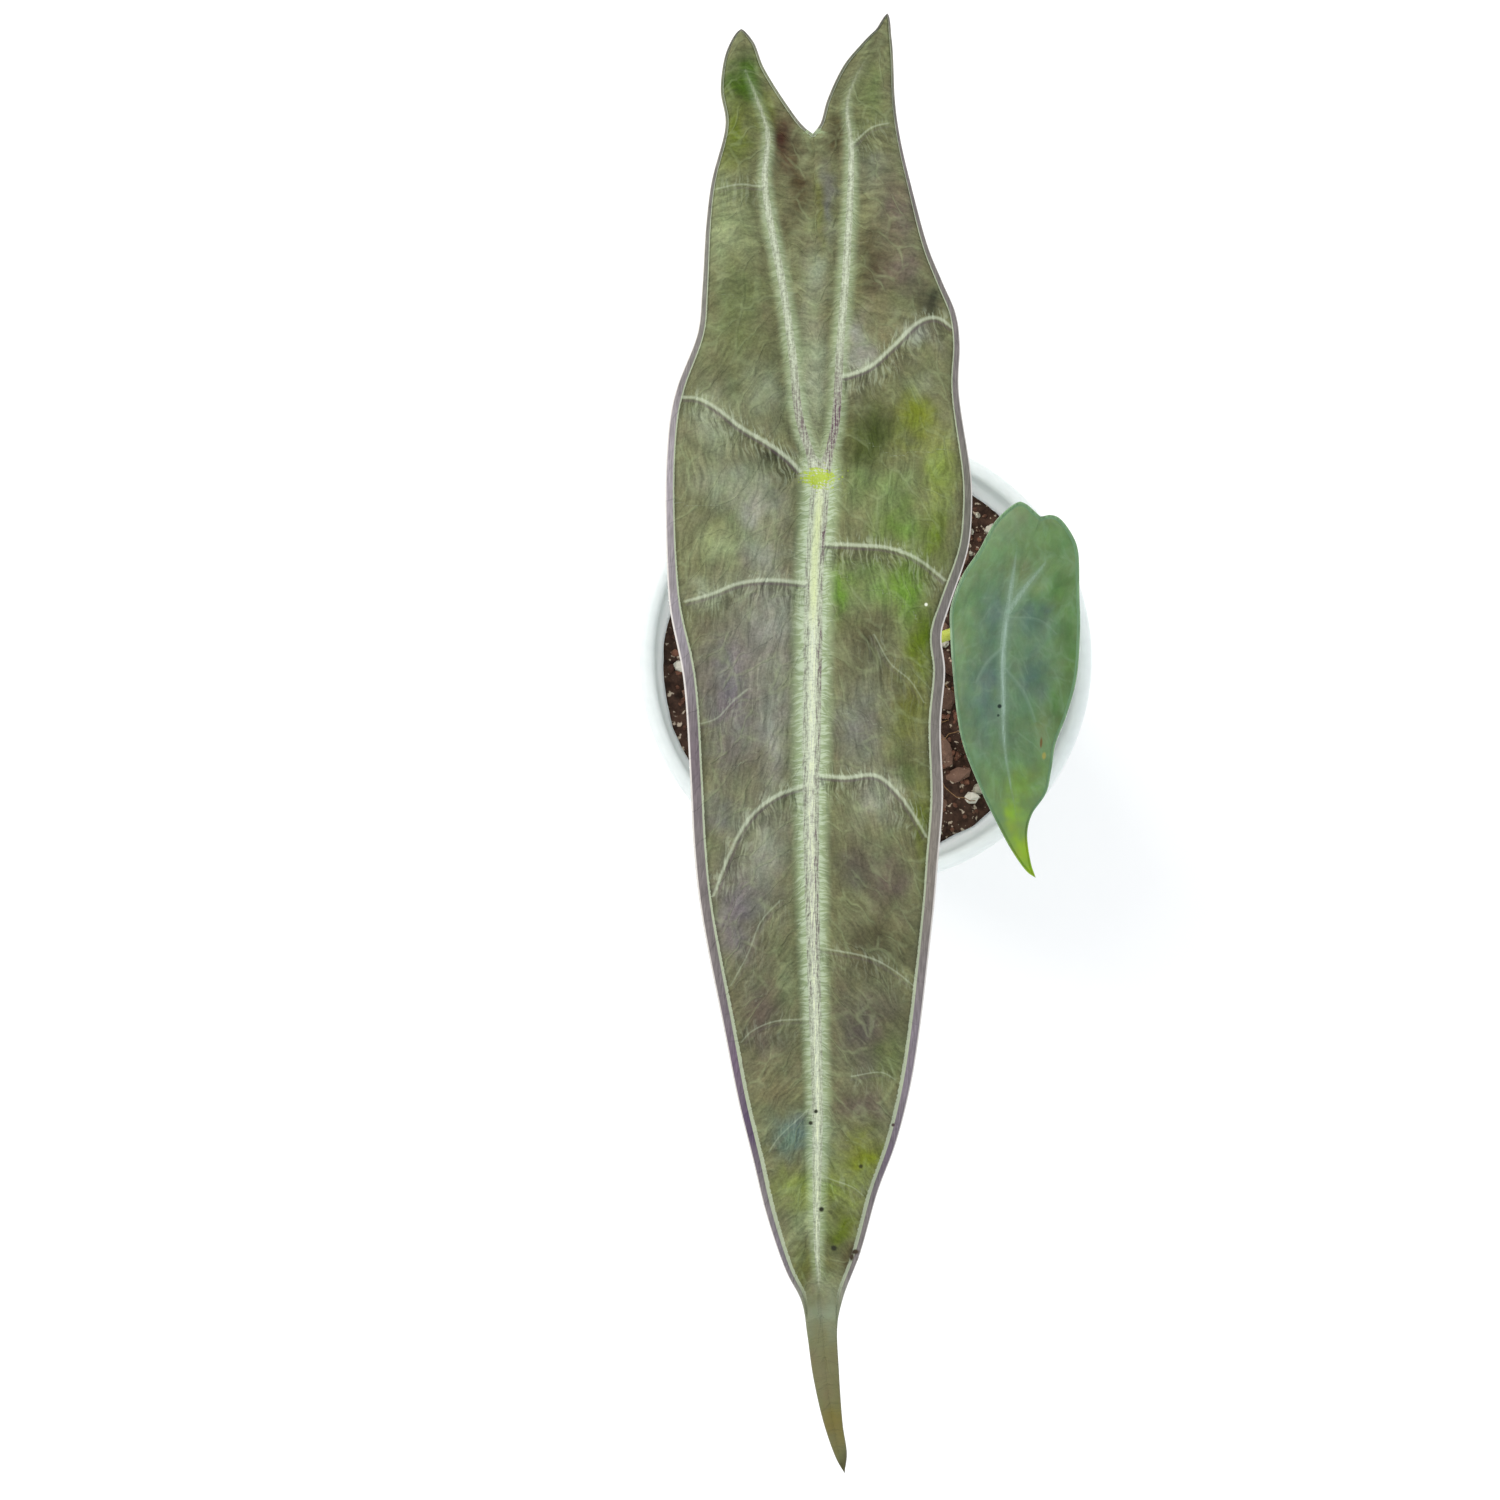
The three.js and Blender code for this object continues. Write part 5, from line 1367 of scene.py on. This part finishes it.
# %% Bark, perlite, crumbs and coir on the bed
bark = knobbly("Bark", [(8, 4.6, 2.6), (6.5, 5, 2.2), (9.5, 3.8, 2.8), (5.5, 4.4, 3)], 0.16, 0)
grains = knobbly("Grain", [(2.6, 2.3, 2.2), (3.2, 2.6, 2.4), (2.1, 1.8, 1.9)], 0.13, 20)
crumbs = knobbly("Crumb", [(1.5, 1.2, 1.0), (1.1, 1.0, 0.9)], 0.25, 40)
threads = [bent_thread(f"Fibre {n}", length, 0.1, 60 + n) for n, length in enumerate([6, 8, 4.5])]
scattered("Bark_chips", bark, 9, 37.4, 0.35, loose_material(
    "Composted pine bark", "#3f2b22", "#896b5b", "#b9a28f", 0.36, 1.6, 0.88), 26000.0, 0.6, 1.15, 0.45, 11)
scattered("Perlite_grains", grains, 8, 40.6, 0.3, loose_material(
    "Perlite", "#98937f", "#dad6c8", "#6f6855", 0.36, 1.3, 0.9), 27000.0, 0.55, 1.2, 1.2, 29)
scattered("Peat_crumbs", crumbs, 7, 41.6, 0.1, loose_material(
    "Peat crumb", "#291a14", "#7a5443", "#a38f79", 0.34, 1.0, 0.95), 180000.0, 0.6, 1.7, 1.2, 5)
scattered("Coir_fibres", threads, 8, 30, 1.3, loose_material(
    "Coir fibre", "#4f3827", "#94734f", "#b99c78", 0.3, 2.0, 0.7), 12000.0, 0.7, 1.2, 0.18, 17)

# %% [markdown]
# ## Stem base, roots and leaf stalks
# The stem is a short stock ringed by the scars of old leaves, with roots below the mix. Each leaf stands on a
# round stalk that is thickest where it clasps the stem and swells a little under the blade. A stalk follows a
# smooth path through a few measured places, so the shoot tree sweeps it in one go, with no joints to hide.

# %% Aroid stalk, smooth and juicy: satin, with a little light in it, fine length lines and dark blotches
def stalk_material(name, low, high, mottle, mottle_share, low_z, high_z):
    material, tree = new_material(name)
    here = add(tree, "TexCoord", take="Object")
    z = add(tree, "SeparateXYZ", {0: here}, "Z")
    rise = add(tree, "MapRange", {"Value": z, "From Min": low_z * MM, "From Max": high_z * MM})
    colour = add(tree, "Mix", {"Factor": rise, 6: linear(low), 7: linear(high)}, data_type="RGBA")
    long_place = add(tree, "Mapping", {"Vector": here, "Scale": (1, 1, 0.28)})
    blotch = add(tree, "TexNoise", {
        "Vector": long_place, "Scale": 1000 / 1.5, "Detail": 3.0, "Roughness": 0.55})
    spot = add(tree, "MapRange", {
        "Value": blotch, "From Min": 1 - mottle_share, "From Max": 1.08 - mottle_share,
    }, interpolation_type="SMOOTHSTEP")
    colour = add(tree, "Mix", {"Factor": spot, 6: colour, 7: linear(mottle)}, data_type="RGBA")
    thread_place = add(tree, "Mapping", {"Vector": here, "Scale": (1, 1, 0.07)})
    thread = add(tree, "TexNoise", {"Vector": thread_place, "Scale": 1000 / 0.5, "Detail": 2.0})
    value = add(tree, "MapRange", {"Value": thread, "To Min": 0.8, "To Max": 1.2})
    colour = add(tree, "HueSaturation", {"Color": colour, "Value": value})
    bump = add(tree, "Bump", {"Height": thread, "Strength": 0.35, "Distance": 0.0001})
    shader = add(tree, "BsdfPrincipled", {
        "Base Color": colour, "Roughness": 0.42, "Normal": bump, "IOR": 1.45, "Subsurface Weight": 0.12,
        "Subsurface Radius": (0.002, 0.003, 0.001), "Subsurface Scale": 0.5,
    })
    add(tree, "OutputMaterial", {"Surface": shader})
    return material


# %% Shoots along paths
def shoots(name, paths, sides, finish):
    """Each of paths holds its places, its radius at a share of its length, and its steps; all in mm."""
    points, edges, thickness = [], [], []
    for places, radius_at, steps in paths:
        line = smooth_line(places, 16)
        run = np.concatenate([[0], np.cumsum(np.linalg.norm(np.diff(line, axis=0), axis=1))])
        share = np.linspace(0, 1, steps + 1)
        share = np.concatenate([[0, 0.0015, 0.004], share[1:-1], [0.996, 0.9985, 1]])
        line = np.column_stack([np.interp(share * run[-1], run, line[:, k]) for k in range(3)])
        radius = np.array([radius_at(t) for t in share])
        radius[[0, 1, -2, -1]] *= (0.75, 0.93, 0.93, 0.75)
        start = len(points)
        points.extend(line)
        edges.extend((start + i, start + i + 1) for i in range(len(line) - 1))
        thickness.extend(radius * MM)
    mesh = bpy.data.meshes.new(name)
    mesh.from_pydata((np.array(points) * MM).tolist(), edges, [])
    store(mesh, "thickness", np.array(thickness))
    obj = bpy.data.objects.new(name, mesh)
    bpy.context.scene.collection.objects.link(obj)
    return grown(obj, shoot_tree, {"Sides": sides, "Finish": finish})


# %% Stem base with leaf scars
STEM_TOP = MIX_LEVEL + 6.5
stem_low = MIX_LEVEL - 22
stem_profile = [
    (0, stem_low), (2.9, stem_low), (4.9, stem_low + 5), (5.6, MIX_LEVEL - 6), (5.5, MIX_LEVEL + 1),
    (5.9, MIX_LEVEL + 1.6), (5.3, MIX_LEVEL + 2.4), (5.4, MIX_LEVEL + 3.6), (5.7, MIX_LEVEL + 4.2),
    (5.2, MIX_LEVEL + 4.9), (5.1, STEM_TOP - 0.6), (4.3, STEM_TOP + 0.1), (2, STEM_TOP + 0.3),
    (0, STEM_TOP + 0.3),
]
points, faces = turned(rounded(stem_profile, 0.6), 96)
bearing = np.arctan2(points[:, 1], points[:, 0])
wobble = 1 + 0.03 * np.sin(3 * bearing + points[:, 2] / 3) + 0.02 * np.sin(7 * bearing - points[:, 2] / 2)
points[:, :2] *= wobble[:, None]
stem = mesh_object("Stem_base", points, faces, stalk_material(
    "Aroid stem skin", "#6b5a38", "#8f9a58", "#5b4030", 0.42, MIX_LEVEL - 2, STEM_TOP))
finish_piece(stem, "stem", "stem_base")

# %% Roots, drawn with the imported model's own random numbers, so that each lies where its solid does
ROOTS = 6


def fixed_draws(state):
    while True:
        state = (state * 1664525 + 1013904223) % 4294967296
        yield state / 4294967296


def root_radius(t):
    return 1.3 - 0.6 * t


draws = fixed_draws(5)
root_paths = []
for n in range(ROOTS):
    bearing = (n + 0.5 * next(draws)) * 2 * math.pi / ROOTS
    start = stem_low + 5 + 7 * next(draws)
    spread = 22 + 6 * next(draws)
    depth = 10 + 16 * next(draws)
    places = [(reach * math.cos(bearing + turn), reach * math.sin(bearing + turn), z) for reach, turn, z in (
        (1.5, 0, start + 1), (9, 0.1, start - 3), (spread * 0.8, 0.35, start * 0.62 + depth * 0.38),
        (spread, 0.6, start * 0.25 + depth * 0.75), (spread * 0.9, 0.9, depth))]
    root_paths.append((places, root_radius, 60))
roots = shoots("Roots", root_paths, 12, stalk_material(
    "Root skin", "#c9bb96", "#b9a67c", "#8a7350", 0.4, 10, 60))
finish_piece(roots, "stem", "stem_base")

# %% Leaf stalks
def blade_foot(blade, below):
    x, y, z = blade["origin"]
    return x, y, z - below


large_path = [(-2, 0.2, STEM_TOP - 0.4), (-2.6, 0.6, STEM_TOP + 9), (-5.2, 3.2, STEM_TOP + 34),
              (-9.6, 10.2, STEM_TOP + 66), (-13, 17.4, STEM_TOP + 95), (-14, 20.1, STEM_TOP + 108),
              blade_foot(LARGE_BLADE, 0.7)]
small_path = [(3.4, 0.3, STEM_TOP - 0.4), (4, 0.5, STEM_TOP + 5), (8.4, 1.7, STEM_TOP + 15),
              (14.8, 3.6, STEM_TOP + 22), (22, 6.2, STEM_TOP + 24.6), (25.6, 7.6, STEM_TOP + 26),
              blade_foot(SMALL_BLADE, 0.6)]


def large_radius(t):
    return 1.75 + 0.45 * (1 - t) + 0.9 * (1 - min(1, t / 0.32)) ** 1.6 + 0.35 * bell(t - 0.985, 0.03)


def small_radius(t):
    return 1.05 + 0.2 * (1 - t) + 0.6 * (1 - min(1, t / 0.35)) ** 1.6 + 0.15 * bell(t - 0.97, 0.05)


for name, node, path, radius_at, steps, sides, finish in (
    ("Stalk_long", "stalk_large", large_path, large_radius, 220, 28, (
        "Mottled leaf stalk", "#7d6a4c", "#8a9a58", "#57383a", 0.47, STEM_TOP, STEM_TOP + 70)),
    ("Stalk_short", "stalk_small", small_path, small_radius, 120, 24, (
        "Yellow-green leaf stalk", "#9aa24a", "#bcc650", "#8c8a42", 0.36, STEM_TOP, STEM_TOP + 20)),
):
    finish_piece(shoots(name, [(path, radius_at, steps)], sides, stalk_material(*finish)), node, node)

# %% Close the scene
VISUAL_BOX = [list(corner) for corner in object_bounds()]
print("visual box", [[round(v, 4) for v in corner] for corner in VISUAL_BOX])
